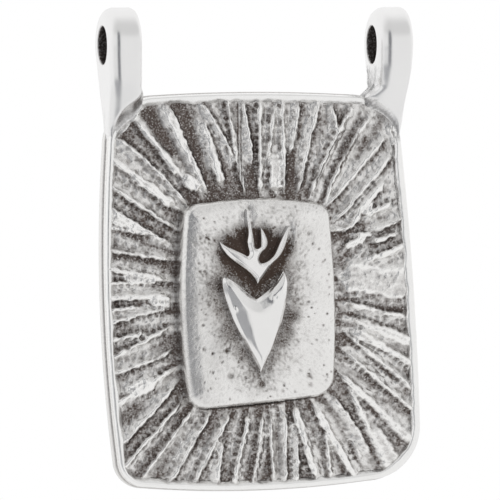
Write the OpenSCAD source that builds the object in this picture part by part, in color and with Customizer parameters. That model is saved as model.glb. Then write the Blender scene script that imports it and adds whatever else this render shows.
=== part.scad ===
// Rectangle pendant: a rayed silver plate with a flaming heart on a raised tablet, hung from two bails.
// The front faces -Y, +Z is up, and the origin lies midway between the bails on the axis of their bores.
// Sizes run from the inside out: the heart and flame set the tablet, the tablet and rays set the plate,
// and the plate carries the bails.

/* [Heart and flame] */
// Width of the heart
heart_w = 4.5; // [3:0.1:6]
// Height of the heart, from its tip to its higher lobe
heart_h = 6.75; // [5:0.05:9]
// Height of the heart's dome above the tablet
heart_rise = 0.95; // [0.5:0.05:1.6]
// Width of the flame across its outer tongues
flame_w = 4.65; // [3:0.05:6]
// Height of the flame, from its stem to its tallest tongue
flame_h = 4.9; // [3.5:0.1:7]
// Height of the flame above the tablet
flame_rise = 0.6; // [0.3:0.05:1.2]
// Drop from the flame's stem to the heart's notch
stem_gap = 1; // [0.8:0.1:2]
// How far the heart's middle lies to the left of the tablet's middle
heart_shift = 0.6; // [0:0.1:1.2]

/* [Tablet] */
// Margin from the heart to each side of the tablet
tablet_side_gap = 2.55; // [2:0.05:4]
// Margin from the tallest tongue to the tablet's top line
tablet_top_gap = 0.4; // [0.3:0.1:2]
// Margin from the heart's tip to the tablet's bottom line
tablet_low_gap = 2; // [1.5:0.1:4]
// Height of the tablet's face above the back plate
tablet_rise = 2.1; // [1.6:0.1:3.5]
// Radius of the tablet's softened front edge
tablet_edge_r = 0.6; // [0.3:0.05:0.9]
// Radius of the tablet's other corners
tablet_corner_r = 1; // [0.9:0.1:2]
// Radius of the tablet's bottom right corner
tablet_low_right_r = 1.6; // [0.9:0.1:2.5]
// Sideways drift of the tablet's bottom edge against its top edge
tablet_lean = 0.3; // [0:0.1:1]
// Rise of the tablet's bottom edge from left to right
tablet_tilt = 0.95; // [0:0.05:1.5]
// How far the tablet sits to the left of the plate's middle line
tablet_shift = 0.3; // [0:0.1:1]
// Clearance round the tablet in the window of the rayed frame
window_gap = 0.1; // [0.05:0.05:0.3]

/* [Rayed frame] */
// Length of the ray field above the tablet
rays_top = 7.2; // [5:0.1:10]
// Length of the ray field below the tablet
rays_low = 5.4; // [4:0.1:9]
// Length of the ray field on each side of the tablet
rays_side = 5.5; // [4:0.1:9]
// Width of a plain ray's crest
ray_crest = 0.15; // [0.1:0.05:0.3]
// Width of a ray's sloping flanks
ray_flank = 0.3; // [0.2:0.05:0.5]
// Height of a ray's crest above the floor of the field
ray_h = 0.3; // [0.2:0.05:0.8]
// Thickness of the frame under the rays
frame_t = 0.55; // [0.4:0.05:1.2]
// Space left between a ray's ends and what bounds the field
ray_end_gap = 0.1; // [0.05:0.05:0.8]

/* [Border] */
// Width of the plain border
border_w = 0.45; // [0.3:0.05:0.8]
// Height of the border above the floor of the field
border_h = 0.35; // [0.2:0.05:0.8]
// Ledge of the back plate left bare round the frame
ledge = 0.12; // [0.05:0.01:0.3]

/* [Back plate] */
// Thickness of the back plate
base_t = 0.9; // [0.6:0.05:2]
// How much wider the plate is at the bottom than at the top
plate_flare = 0.9; // [0:0.1:1.5]
// Sideways drift of the plate's bottom edge against its top edge
plate_lean = 1.15; // [0:0.05:2]
// How far the plate's top edge lies to the left of the bails' middle
plate_shift = 0.15; // [0:0.05:0.5]
// Rise of the plate's bottom edge from left to right
plate_tilt = 0.4; // [0:0.1:1]
// Outward bow of the plate's left side
bow_left = 0.5; // [0:0.05:1]
// Outward bow of the plate's right side
bow_right = 0.2; // [0:0.05:1]
// Outward bow of the plate's top edge
bow_top = 0.2; // [0:0.05:0.6]
// Outward bow of the plate's bottom edge
bow_low = 0.4; // [0:0.05:1]
// Radius of the plate's two top corners
corner_top_r = 3.4; // [2.4:0.1:4]
// Radius of the plate's bottom left corner
corner_low_left_r = 1.9; // [1.5:0.1:4]
// Radius of the plate's bottom right corner
corner_low_right_r = 3.7; // [1.5:0.1:4.5]

/* [Bails] */
// Bore of the bails
bore_d = 2.5; // [1.5:0.1:3.5]
// Metal round the bore
ring_wall = 1.25; // [0.8:0.05:2]
// Thickness of each bail, side to side
bail_t = 2; // [1.2:0.1:2.2]
// Drop from the underside of the ring to the plate's top line
bail_neck = 0.8; // [0.4:0.1:3]
// Depth of the bail, front to back, at the plate's top line
bail_waist = 3.4; // [2.4:0.1:3.6]
// Depth of the bail, front to back, at its foot
bail_foot = 1.5; // [1:0.1:2.2]
// How far the bails' outer faces stand out past half the plate's top width
bail_overhang = 0.15; // [0:0.05:0.4]

/* [Hidden] */

// Steps along one rounded corner, one bowed edge and one drawn curve
ARC_STEPS = 8;
EDGE_STEPS = 8;
CURVE_STEPS = 6;
// Degrees turned by each step round the tablet's softened edge
EDGE_TURN = 22.5;
$fn = 64;
// Length by which a cutter runs past what it cuts
OVERCUT = 1;

// Share of the heart's height that stands above its notch
HEART_LOBE_SHARE = 0.274;
// Bows of the tablet's top, right, bottom and left edges
TABLET_BOWS = [0.2, 0.2, 0.1, 0.35];
// Start of a bail's neck inside its ring, in shares of the ring's radius
NECK_START = [0.86, -0.33];

// Levels along Z, from the bores down
ring_r = bore_d / 2 + ring_wall;
plate_top = -ring_r - bail_neck;
tablet_top = plate_top - rays_top;
stem_z = tablet_top - tablet_top_gap - flame_h;
notch_z = stem_z - stem_gap;
heart_tip_z = notch_z - heart_h * (1 - HEART_LOBE_SHARE);
tablet_low = heart_tip_z - tablet_low_gap;
plate_low = tablet_low - rays_low;

// Widths and middle lines
tablet_w = heart_w + 2 * tablet_side_gap;
plate_w = tablet_w + 2 * rays_side;
plate_top_w = plate_w - plate_flare / 2;
plate_low_w = plate_w + plate_flare / 2;
tablet_mid_x = plate_lean / 2 - plate_shift - tablet_shift;
heart_x = tablet_mid_x - heart_shift;
tablet_mid_z = (tablet_top + tablet_low) / 2;
bail_face_x = plate_top_w / 2 + bail_overhang;

// Corners in the order top left, top right, bottom right, bottom left
plate_corners = [
    [-plate_shift - plate_top_w / 2, plate_top],
    [-plate_shift + plate_top_w / 2, plate_top],
    [-plate_shift + plate_lean + plate_low_w / 2, plate_low + plate_tilt / 2],
    [-plate_shift + plate_lean - plate_low_w / 2, plate_low - plate_tilt / 2]
];
plate_radii = [corner_top_r, corner_top_r, corner_low_right_r, corner_low_left_r];
plate_bows = [bow_top, bow_right, bow_low, bow_left];
tablet_corners = [
    [tablet_mid_x - (tablet_lean + tablet_w) / 2, tablet_top],
    [tablet_mid_x - (tablet_lean - tablet_w) / 2, tablet_top],
    [tablet_mid_x + (tablet_lean + tablet_w) / 2, tablet_low + tablet_tilt / 2],
    [tablet_mid_x + (tablet_lean - tablet_w) / 2, tablet_low - tablet_tilt / 2]
];
tablet_radii = [tablet_corner_r, tablet_corner_r, tablet_low_right_r, tablet_corner_r];

// Unit vector of a direction, and the normal on its left
function unit(v) = v / norm(v);
function left_of(v) = [-v[1], v[0]];

// Corner moved inwards by an inset along both of its edges
function inset_corner(corners, i, inset) =
    let (
        here = corners[i],
        to_last = unit(corners[(i + 3) % 4] - here),
        to_next = unit(corners[(i + 1) % 4] - here),
        sine = abs(to_last[0] * to_next[1] - to_last[1] * to_next[0])
    )
    here + (to_last + to_next) * inset / sine;

// Arc that rounds one corner of a four-sided outline
function corner_arc(corners, i, r) =
    let (
        here = corners[i],
        to_last = unit(corners[(i + 3) % 4] - here),
        to_next = unit(corners[(i + 1) % 4] - here),
        half = acos(to_last * to_next) / 2,
        centre = here + unit(to_last + to_next) * r / sin(half),
        from = here + to_last * r / tan(half) - centre,
        sweep = 180 - 2 * half
    )
    [
        for (k = [0:ARC_STEPS])
            let (turn = -sweep * k / ARC_STEPS)
            centre + [
                from[0] * cos(turn) - from[1] * sin(turn),
                from[0] * sin(turn) + from[1] * cos(turn)
            ]
    ];

// Points between two ends of an edge that bows outwards
function bowed_edge(from, to, bow) =
    [
        for (k = [1:EDGE_STEPS - 1])
            let (s = k / EDGE_STEPS)
            from + (to - from) * s + left_of(unit(to - from)) * bow * 4 * s * (1 - s)
    ];

// Four-sided outline with round corners and bowed edges, drawn clockwise
function outline(corners, radii, bows, inset) =
    let (
        moved = [for (i = [0:3]) inset_corner(corners, i, inset)],
        arcs = [for (i = [0:3]) corner_arc(moved, i, radii[i] - inset)]
    )
    [
        for (i = [0:3])
            each concat(arcs[i], bowed_edge(arcs[i][ARC_STEPS], arcs[(i + 1) % 4][0], bows[i]))
    ];
function plate_outline(inset) = outline(plate_corners, plate_radii, plate_bows, inset);
function tablet_outline(inset) = outline(tablet_corners, tablet_radii, TABLET_BOWS, inset);

// Points along a curve with two control points, without its last point
function curve(a, b, c, d) =
    [
        for (k = [0:CURVE_STEPS - 1])
            let (t = k / CURVE_STEPS, s = 1 - t)
            a * s ^ 3 + b * 3 * s * s * t + c * 3 * s * t * t + d * t ^ 3
    ];
// Points along a curve with one control point, without its last point
function bend(a, b, c) = curve(a, (a + 2 * b) / 3, (2 * b + c) / 3, c);

// Heart in shares of its width and height, from its tip round the left lobe, the notch and the right lobe
HEART_NOTCH = [0.08, 0];
HEART_LEFT_LOBE = [-0.39, 0.215];
HEART_LEFT_SIDE = [-0.31, -0.15];
HEART_TIP = [0.13, HEART_LOBE_SHARE - 1];
HEART_RIGHT_SIDE = [0.56, 0.14];
HEART_RIGHT_LOBE = [0.48, HEART_LOBE_SHARE];
heart_shape = concat(
    curve(HEART_TIP, [-0.03, -0.5], [-0.24, -0.3], HEART_LEFT_SIDE),
    curve(HEART_LEFT_SIDE, [-0.44, 0.05], [-0.49, 0.24], HEART_LEFT_LOBE),
    curve(HEART_LEFT_LOBE, [-0.21, 0.18], [-0.03, 0.02], HEART_NOTCH),
    curve(HEART_NOTCH, [0.25, 0.07], [0.38, 0.14], HEART_RIGHT_LOBE),
    curve(HEART_RIGHT_LOBE, [0.53, 0.26], [0.57, 0.2], HEART_RIGHT_SIDE),
    curve(HEART_RIGHT_SIDE, [0.55, -0.18], [0.3, -0.53], HEART_TIP)
);
// Middle of the dome, in the same shares
HEART_MIDDLE = [0.08, -0.17];
// Dome of the heart: share of its outline against share of its rise
HEART_DOME = [[1, 0], [1, 0.3], [0.9, 0.62], [0.62, 0.88], [0.25, 1]];
function heart_outline(share) =
    [
        for (p = heart_shape)
            let (q = HEART_MIDDLE + (p - HEART_MIDDLE) * share)
            [heart_x + (q[0] - HEART_MIDDLE[0]) * heart_w, notch_z + q[1] * heart_h]
    ];

// Flame in shares of its width and height, from its stem round the four tongues
FLAME_STEM = [0.02, 0];
FLAME_TIPS = [[-0.52, 0.57], [-0.13, 1], [0.07, 0.755], [0.48, 0.77]];
FLAME_FIRST_VALLEY = [-0.125, 0.365];
FLAME_SECOND_WAIST = [-0.115, 0.62];
FLAME_SECOND_VALLEY = [[-0.018, 0.48], [0.078, 0.5]];
FLAME_THIRD_BELLY = [0.102, 0.44];
FLAME_THIRD_VALLEY = [0.075, 0.275];
FLAME_FOURTH_WAIST = [[0.27, 0.38], [0.31, 0.33]];
flame_shape = concat(
    curve(FLAME_STEM, [-0.07, 0.235], [-0.425, 0.265], FLAME_TIPS[0]),
    curve(FLAME_TIPS[0], [-0.4, 0.48], [-0.265, 0.45], FLAME_FIRST_VALLEY),
    curve(FLAME_FIRST_VALLEY, [-0.045, 0.41], [-0.155, 0.51], FLAME_SECOND_WAIST),
    curve(FLAME_SECOND_WAIST, [-0.085, 0.71], [-0.145, 0.86], FLAME_TIPS[1]),
    bend(FLAME_TIPS[1], [-0.045, 0.75], FLAME_SECOND_VALLEY[0]),
    bend(FLAME_SECOND_VALLEY[0], [0.03, 0.445], FLAME_SECOND_VALLEY[1]),
    bend(FLAME_SECOND_VALLEY[1], [0.083, 0.62], FLAME_TIPS[2]),
    curve(FLAME_TIPS[2], [0.19, 0.62], [0.21, 0.51], FLAME_THIRD_BELLY),
    curve(FLAME_THIRD_BELLY, [0.045, 0.39], [0.02, 0.31], FLAME_THIRD_VALLEY),
    curve(FLAME_THIRD_VALLEY, [0.14, 0.265], [0.225, 0.325], FLAME_FOURTH_WAIST[0]),
    curve(FLAME_FOURTH_WAIST[0], [0.31, 0.43], [0.35, 0.57], FLAME_TIPS[3]),
    curve(FLAME_TIPS[3], [0.48, 0.61], [0.425, 0.44], FLAME_FOURTH_WAIST[1]),
    curve(FLAME_FOURTH_WAIST[1], [0.21, 0.265], [0.165, 0.16], FLAME_STEM)
);
flame_outline = [for (p = flame_shape) [heart_x + p[0] * flame_w, stem_z + p[1] * flame_h]];

// Rays as they were cut: the X and Z of the outer and the inner end, and for a broad ray its crest's two widths.
// They were drawn on a plate and round a tablet of these sizes, and they follow both.
DRAWN_PLATE = [20.6, 25.8];
DRAWN_TABLET = [9.6, 13.2];
DRAWN_PLATE_MIDDLE = [0.425, -16.2];
DRAWN_TABLET_MIDDLE = [0.125, -17.1];
LEFT_RAYS = [
    [-9.9, -7.4, -5.4, -10.8, 0.15, 0.5],
    [-9.9, -9.3, -5.5, -12.2],
    [-10, -10.7, -5.9, -13.1],
    [-10.1, -12, -7.3, -12.5],
    [-9.8, -11.4, -8.2, -12.05, 0.5, 0.15],
    [-10.3, -13.5, -5.8, -14.2],
    [-10.3, -14.7, -6, -15.6],
    [-10.3, -15.7, -7.4, -15.7],
    [-10.2, -16.7, -5.9, -16.7, 0.2, 0.6],
    [-10.1, -17.5, -8.1, -17.3],
    [-10, -18.4, -6, -17.4],
    [-10, -19.5, -7.7, -19],
    [-9.8, -20.6, -5.9, -18.6],
    [-10, -21.7, -5.7, -20.1],
    [-9.7, -23.6, -5.7, -21.4, 0.6, 0.25],
    [-9.3, -26.4, -5.5, -22.4]
];
LOW_RAYS = [
    [-9.2, -27.9, -5.1, -23.5],
    [-7.8, -28.4, -4.3, -23.9],
    [-5.9, -28.7, -3.1, -24.2],
    [-4.3, -28.8, -1.8, -24.3],
    [-2.8, -28.9, -2.4, -26.3],
    [-1.7, -29, -0.6, -24.4],
    [-0.4, -29.1, 0.4, -24.5],
    [1, -28.8, 0.85, -24.3],
    [1.9, -28.8, 1.9, -24.2],
    [2.7, -28.9, 2.7, -25.6],
    [4, -28.7, 2.6, -23.9, 0.25, 0.4],
    [5, -28.7, 4.75, -26.4],
    [6.6, -28.6, 3.9, -23.9, 0.2, 0.4],
    [7.6, -27, 5.2, -23.3],
    [9, -28, 6.3, -22.8, 1, 0.15]
];
RIGHT_RAYS = [
    [10.5, -26.3, 5.6, -21.7, 0.45, 0.2],
    [10.8, -24.4, 6.2, -20.5],
    [10.6, -22.8, 6.2, -19.2],
    [10.6, -21.2, 6.7, -19, 0.2, 0.5],
    [10.6, -19.8, 6.5, -18.1, 0.55, 0.2],
    [10.1, -18, 6.2, -17.1],
    [10.2, -15.8, 6.1, -15.5, 1.7, 1.3],
    [10.2, -13.2, 7.4, -14.1],
    [9.8, -12.5, 7.5, -13.4],
    [9.9, -11.6, 5.6, -13.7],
    [9.6, -10.5, 5.6, -12.4],
    [9.3, -9.1, 7.4, -10.9, 0.2, 0.5],
    [9.2, -7.6, 5.6, -11.6]
];
TOP_RAYS = [
    [-9.3, -6.2, -4.8, -10.4],
    [-8.1, -5, -4.6, -9.2, 0.2, 0.5],
    [-6.1, -4.2, -3.3, -9.8, 0.5, 0.2],
    [-3.5, -5.3, -2.2, -9.3, 0.35, 0.4],
    [-3.5, -4, -1.4, -7.5],
    [-1.9, -3.8, -0.7, -9.9],
    [-0.85, -3.9, -0.2, -7.5],
    [0.3, -3.8, 0.3, -9.8],
    [1.2, -4.5, 1.15, -9.7, 0.15, 0.6],
    [1.85, -3.8, 1.95, -9.8],
    [3, -3.9, 2.4, -7.2],
    [4.3, -3.9, 2.9, -9.8],
    [5.3, -4.2, 5.5, -5.4],
    [6.6, -4.3, 3.8, -9.9],
    [7.7, -5, 4.8, -10.3],
    [8.8, -6.3, 5, -10.6]
];
RAYS = concat(LEFT_RAYS, LOW_RAYS, RIGHT_RAYS, TOP_RAYS);

// Place on the plate, and beside the tablet, of a point of the drawing
function on_plate(p) =
    let (drawn = p - DRAWN_PLATE_MIDDLE)
    [
        plate_lean / 2 - plate_shift + drawn[0] * plate_w / DRAWN_PLATE[0],
        (plate_top + plate_low) / 2 + drawn[1] * (plate_top - plate_low) / DRAWN_PLATE[1]
    ];
function by_tablet(p) =
    let (drawn = p - DRAWN_TABLET_MIDDLE)
    [
        tablet_mid_x + drawn[0] * tablet_w / DRAWN_TABLET[0],
        tablet_mid_z + drawn[1] * (tablet_top - tablet_low) / DRAWN_TABLET[1]
    ];

// Outline of a ray between its ends, grown by a margin
function ray_outline(outer, inner, outer_w, inner_w, margin) =
    let (along = unit(inner - outer), across = left_of(along), more = along * margin)
    [
        outer - more + across * (outer_w / 2 + margin),
        inner + more + across * (inner_w / 2 + margin),
        inner + more - across * (inner_w / 2 + margin),
        outer - more - across * (outer_w / 2 + margin)
    ];

// Slab of an outline drawn in X and Z, from a back face towards the front
module slab(points, back_y, thickness) {
    translate([0, back_y, 0]) rotate([90, 0, 0]) linear_extrude(thickness) polygon(points);
}

// Solid skinned over clockwise outlines, each given with its Y, from the back to the front
module skin(rings) {
    n = len(rings[0][0]);
    last = len(rings) - 1;
    points = [for (ring = rings) each [for (p = ring[0]) [p[0], ring[1], p[1]]]];
    sides = [
        for (j = [0:last - 1], i = [0:n - 1])
            let (k = (i + 1) % n)
            each [[j * n + i, (j + 1) * n + k, (j + 1) * n + i], [j * n + i, j * n + k, (j + 1) * n + k]]
    ];
    back = [for (i = [n - 1:-1:0]) i];
    front = [for (i = [0:n - 1]) last * n + i];
    polyhedron(points, concat([back, front], sides));
}

// Back plate: carries the frame, the tablet and the bails
module back_plate() {
    color("silver") slab(plate_outline(0), base_t, base_t);
}

// Rayed frame: a thin sheet with a window for the tablet, with hand-cut rays round it
module ray_frame() {
    top = frame_t + ray_h + OVERCUT;
    color("dimgray") {
        difference() {
            slab(plate_outline(ledge), 0, frame_t);
            slab(tablet_outline(-window_gap), OVERCUT, frame_t + 2 * OVERCUT);
        }
        difference() {
            intersection() {
                for (cut = RAYS) ray(cut);
                slab(plate_outline(ledge + border_w + ray_end_gap), 0, top);
            }
            slab(tablet_outline(-window_gap - ray_end_gap), OVERCUT, top + 2 * OVERCUT);
        }
    }
}

// One ray, whose flanks run on into the frame to half its thickness
module ray(cut) {
    outer = on_plate([cut[0], cut[1]]);
    inner = by_tablet([cut[2], cut[3]]);
    outer_w = len(cut) > 4 ? cut[4] : ray_crest;
    inner_w = len(cut) > 4 ? cut[5] : ray_crest;
    root = frame_t / 2;
    foot = ray_outline(outer, inner, outer_w, inner_w, ray_flank * (1 + root / ray_h));
    crest = ray_outline(outer, inner, outer_w, inner_w, 0);
    skin([[foot, root - frame_t], [crest, -frame_t - ray_h]]);
}

// Plain border laid on the edge of the frame
module border_wire() {
    color("gainsboro") difference() {
        slab(plate_outline(ledge), -frame_t, border_h);
        slab(plate_outline(ledge + border_w), OVERCUT - frame_t, border_h + 2 * OVERCUT);
    }
}

// Raised tablet with a softened front edge, seated on the back plate through the window
module tablet() {
    shoulder = tablet_rise - tablet_edge_r;
    color("lightgray") skin(concat(
        [[tablet_outline(0), 0]],
        [
            for (turn = [0:EDGE_TURN:90])
                [tablet_outline(tablet_edge_r * (1 - cos(turn))), -shoulder - tablet_edge_r * sin(turn)]
        ]
    ));
}

// Domed heart on the tablet's face
module heart() {
    color("gainsboro") skin([
        for (step = HEART_DOME) [heart_outline(step[0]), -tablet_rise - step[1] * heart_rise]
    ]);
}

// Four-tongued flame on the tablet's face, above the heart
module flame() {
    color("gainsboro") slab(flame_outline, -tablet_rise, flame_rise);
}

// Bail whose left face lies at a place along X: a bored ring on a neck that tapers to the plate's corner
module bail(from_x) {
    neck = ring_r * NECK_START;
    foot_z = plate_top - corner_top_r;
    profile = [
        [neck[0], neck[1]],
        [bail_waist / 2, plate_top],
        [bail_foot / 2, foot_z],
        [-bail_foot / 2, foot_z],
        [-bail_waist / 2, plate_top],
        [-neck[0], neck[1]]
    ];
    difference() {
        union() {
            translate([from_x, 0, 0]) rotate([0, 90, 0]) cylinder(h = bail_t, r = ring_r);
            translate([from_x, 0, 0]) rotate([90, 0, 90]) linear_extrude(bail_t) polygon(profile);
        }
        translate([from_x - OVERCUT, 0, 0])
            rotate([0, 90, 0])
                cylinder(h = bail_t + 2 * OVERCUT, d = bore_d);
        slab(plate_outline(0), bail_waist, 2 * bail_waist);
    }
}
module left_bail() {
    color("silver") bail(-bail_face_x);
}
module right_bail() {
    color("silver") bail(bail_face_x - bail_t);
}

back_plate();
ray_frame();
border_wire();
tablet();
heart();
flame();
left_bail();
right_bail();
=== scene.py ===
"""Looks of a rectangle pendant: a rayed silver plate with a flaming heart on a raised tablet.

The pendant hangs from two bored bails. Its front faces -Y and +Z is up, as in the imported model. Each piece is
modelled in millimetres, and its object is made in metres.
"""
import logging
import math
import random
from abc import ABC, abstractmethod
from collections.abc import Sequence
from dataclasses import dataclass
from enum import Enum

import bmesh
import bpy
import numpy as np
from mathutils import Matrix, Vector, noise


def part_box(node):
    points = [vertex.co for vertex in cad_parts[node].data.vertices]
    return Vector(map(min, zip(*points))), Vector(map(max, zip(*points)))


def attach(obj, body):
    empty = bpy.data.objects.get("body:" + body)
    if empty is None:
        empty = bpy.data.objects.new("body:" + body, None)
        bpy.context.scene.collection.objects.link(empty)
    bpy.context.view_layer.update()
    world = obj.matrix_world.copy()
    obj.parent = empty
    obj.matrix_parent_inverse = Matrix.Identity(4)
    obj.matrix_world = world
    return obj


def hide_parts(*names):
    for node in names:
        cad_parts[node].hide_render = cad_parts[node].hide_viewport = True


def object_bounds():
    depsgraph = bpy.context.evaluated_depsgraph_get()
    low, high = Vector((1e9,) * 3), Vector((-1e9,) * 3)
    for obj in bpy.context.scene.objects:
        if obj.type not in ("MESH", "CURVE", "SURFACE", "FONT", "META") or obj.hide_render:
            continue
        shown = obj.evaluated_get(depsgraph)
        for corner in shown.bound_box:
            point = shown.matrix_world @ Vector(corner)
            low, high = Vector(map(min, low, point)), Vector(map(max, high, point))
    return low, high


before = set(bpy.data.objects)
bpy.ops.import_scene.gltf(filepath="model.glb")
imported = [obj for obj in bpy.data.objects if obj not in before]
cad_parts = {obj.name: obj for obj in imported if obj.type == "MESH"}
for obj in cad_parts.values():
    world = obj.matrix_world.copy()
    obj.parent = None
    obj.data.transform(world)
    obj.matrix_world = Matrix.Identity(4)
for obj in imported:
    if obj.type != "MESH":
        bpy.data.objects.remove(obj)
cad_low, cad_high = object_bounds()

Point = tuple[float, float]
Pair = tuple[float, float]
Colour = tuple[float, float, float]
Values = np.ndarray | float

MM = 0.001
WELD_MM = 1e-5
BODY = "root"
TARNISH = "tarnish"

log = logging.getLogger("pendant")


def smoothstep(low: Values, high: Values, value: Values) -> np.ndarray:
    """Eases from 0 at low to 1 at high.

    Args:
        low: Value at which the step starts. It may be above high, for a falling step.
        high: Value at which the step ends.
        value: Values to ease.

    Returns:
        The eased shares, from 0 to 1.
    """
    share = np.clip((np.asarray(value) - low) / (high - low), 0.0, 1.0)
    return share * share * (3.0 - 2.0 * share)


def ripple(x: np.ndarray, z: np.ndarray, size: float, seed: int) -> np.ndarray:
    """Smooth noise over points in X and Z.

    Args:
        x: Places along X in mm.
        z: Places along Z in mm.
        size: Size of one ripple in mm.
        seed: Picks a pattern.

    Returns:
        Values from about -1 to 1.
    """
    layer = 0.37 + 5.3 * seed
    return np.array([noise.noise(Vector((a / size, layer, b / size))) for a, b in zip(x, z)])


def distance_to_path(x: np.ndarray, z: np.ndarray, path: np.ndarray) -> tuple[np.ndarray, np.ndarray]:
    """Distance from points to a path of straight steps.

    Args:
        x: Places along X.
        z: Places along Z.
        path: Points of the path, one row each.

    Returns:
        The distances, and how far along the path the nearest place is, from 0 to 1.
    """
    best = np.full(len(x), np.inf)
    along = np.zeros(len(x))
    steps = len(path) - 1
    for i in range(steps):
        ax, az = path[i]
        dx, dz = path[i + 1] - path[i]
        share = np.clip(((x - ax) * dx + (z - az) * dz) / (dx * dx + dz * dz), 0.0, 1.0)
        far = np.hypot(x - ax - share * dx, z - az - share * dz)
        nearer = far < best
        best = np.where(nearer, far, best)
        along = np.where(nearer, (i + share) / steps, along)
    return best, along


def inside_path(x: np.ndarray, z: np.ndarray, path: np.ndarray) -> np.ndarray:
    """Tells which points lie inside a closed path.

    Args:
        x: Places along X.
        z: Places along Z.
        path: Points of the path, one row each, with the last joined to the first.

    Returns:
        True for each point inside.
    """
    inside = np.zeros(len(x), bool)
    for (ax, az), (bx, bz) in zip(path, np.roll(path, -1, axis=0)):
        if az == bz:
            continue
        crosses = ((az > z) != (bz > z)) & (x < ax + (bx - ax) * (z - az) / (bz - az))
        inside ^= crosses
    return inside


def bezier(points: Sequence[Point], steps: int) -> np.ndarray:
    """Points along a curve with one or two control points, without its last point.

    Args:
        points: The start, the control points and the end.
        steps: Number of points.

    Returns:
        The points, one row each.
    """
    t = np.arange(steps)[:, None] / steps
    held = np.repeat(np.array(points, float)[:, None, :], steps, axis=1)
    while len(held) > 1:
        held = held[:-1] * (1.0 - t) + held[1:] * t
    return held[0]


def grown(path: np.ndarray, margin: float) -> np.ndarray:
    """Outline moved outwards if it runs clockwise, and inwards if not.

    Args:
        path: Points of the outline, one row each.
        margin: Distance to move it.

    Returns:
        The moved points.
    """
    step = np.roll(path, -1, axis=0) - np.roll(path, 1, axis=0)
    step /= np.linalg.norm(step, axis=1)[:, None]
    return path + margin * np.column_stack([-step[:, 1], step[:, 0]])


def closed(path: np.ndarray) -> np.ndarray:
    """Path with its first point repeated at its end."""
    return np.vstack([path, path[:1]])


@dataclass(frozen=True)
class Outline:
    """Four-sided outline in X and Z with round corners and bowed edges, drawn clockwise.

    Attributes:
        corners: Corners in mm, clockwise from the top left one.
        radii: Radius of each corner in mm.
        bows: Outward bow in mm of the edge after each corner.
    """

    corners: tuple[Point, Point, Point, Point]
    radii: tuple[float, float, float, float]
    bows: tuple[float, float, float, float]

    def ring(self, inset: float, arc_steps: int, edge_steps: int) -> np.ndarray:
        """Points of the outline, moved inwards.

        Args:
            inset: Distance inwards in mm.
            arc_steps: Steps round each corner.
            edge_steps: Steps along each edge.

        Returns:
            The points, one row each.
        """
        arcs = [self._arc(i, inset, arc_steps) for i in range(4)]
        points = []
        share = np.arange(1, edge_steps)[:, None] / edge_steps
        for i in range(4):
            start, end = arcs[i][-1], arcs[(i + 1) % 4][0]
            along = (end - start) / np.linalg.norm(end - start)
            outwards = np.array([-along[1], along[0]])
            points.append(arcs[i])
            points.append(start + (end - start) * share + outwards * self.bows[i] * 4 * share * (1 - share))
        return np.concatenate(points)

    def _arc(self, i: int, inset: float, steps: int) -> np.ndarray:
        """Arc round one corner.

        Args:
            i: Number of the corner.
            inset: Distance inwards in mm.
            steps: Steps of the arc.

        Returns:
            The points, one row each.
        """
        corners = np.array(self.corners)
        to_last = corners[i - 1] - corners[i]
        to_last /= np.linalg.norm(to_last)
        to_next = corners[(i + 1) % 4] - corners[i]
        to_next /= np.linalg.norm(to_next)
        half = math.acos(to_last @ to_next) / 2
        middle = (to_last + to_next) / np.linalg.norm(to_last + to_next)
        radius = self.radii[i] - inset
        here = corners[i] + middle * inset / math.sin(half)
        centre = here + middle * radius / math.sin(half)
        start = here + to_last * radius / math.tan(half) - centre
        turn = -(math.pi - 2 * half) * np.linspace(0.0, 1.0, steps + 1)
        return centre + np.column_stack([
            start[0] * np.cos(turn) - start[1] * np.sin(turn),
            start[0] * np.sin(turn) + start[1] * np.cos(turn),
        ])


PLATE = Outline(
    corners=((-10.225, -3.3), (9.925, -3.3), (11.525, -28.9), (-9.525, -29.3)),
    radii=(3.4, 3.4, 3.7, 1.9),
    bows=(0.2, 0.2, 0.4, 0.5),
)
TABLET = Outline(
    corners=((-4.825, -10.5), (4.775, -10.5), (5.075, -23.225), (-4.525, -24.175)),
    radii=(1.0, 1.0, 1.6, 1.0),
    bows=(0.2, 0.2, 0.1, 0.35),
)


def heart_outline(steps: int) -> np.ndarray:
    """Outline of the heart, counter-clockwise from its notch round the left lobe and the tip.

    Args:
        steps: Points on each of its six curves.

    Returns:
        The points in mm, one row each.
    """
    notch, tip = (0.08, 0.0), (0.13, -0.726)
    left_lobe, left_side = (-0.39, 0.215), (-0.31, -0.15)
    right_side, right_lobe = (0.56, 0.14), (0.48, 0.274)
    shape = np.concatenate([
        bezier([notch, (-0.03, 0.02), (-0.21, 0.18), left_lobe], steps),
        bezier([left_lobe, (-0.49, 0.24), (-0.44, 0.05), left_side], steps),
        bezier([left_side, (-0.24, -0.3), (-0.03, -0.5), tip], steps),
        bezier([tip, (0.3, -0.53), (0.55, -0.18), right_side], steps),
        bezier([right_side, (0.57, 0.2), (0.53, 0.26), right_lobe], steps),
        bezier([right_lobe, (0.38, 0.14), (0.25, 0.07), notch], steps),
    ])
    width, height = 4.5, 6.75
    place = np.array([-0.835, -16.8])
    return place + shape * (width, height)


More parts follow.
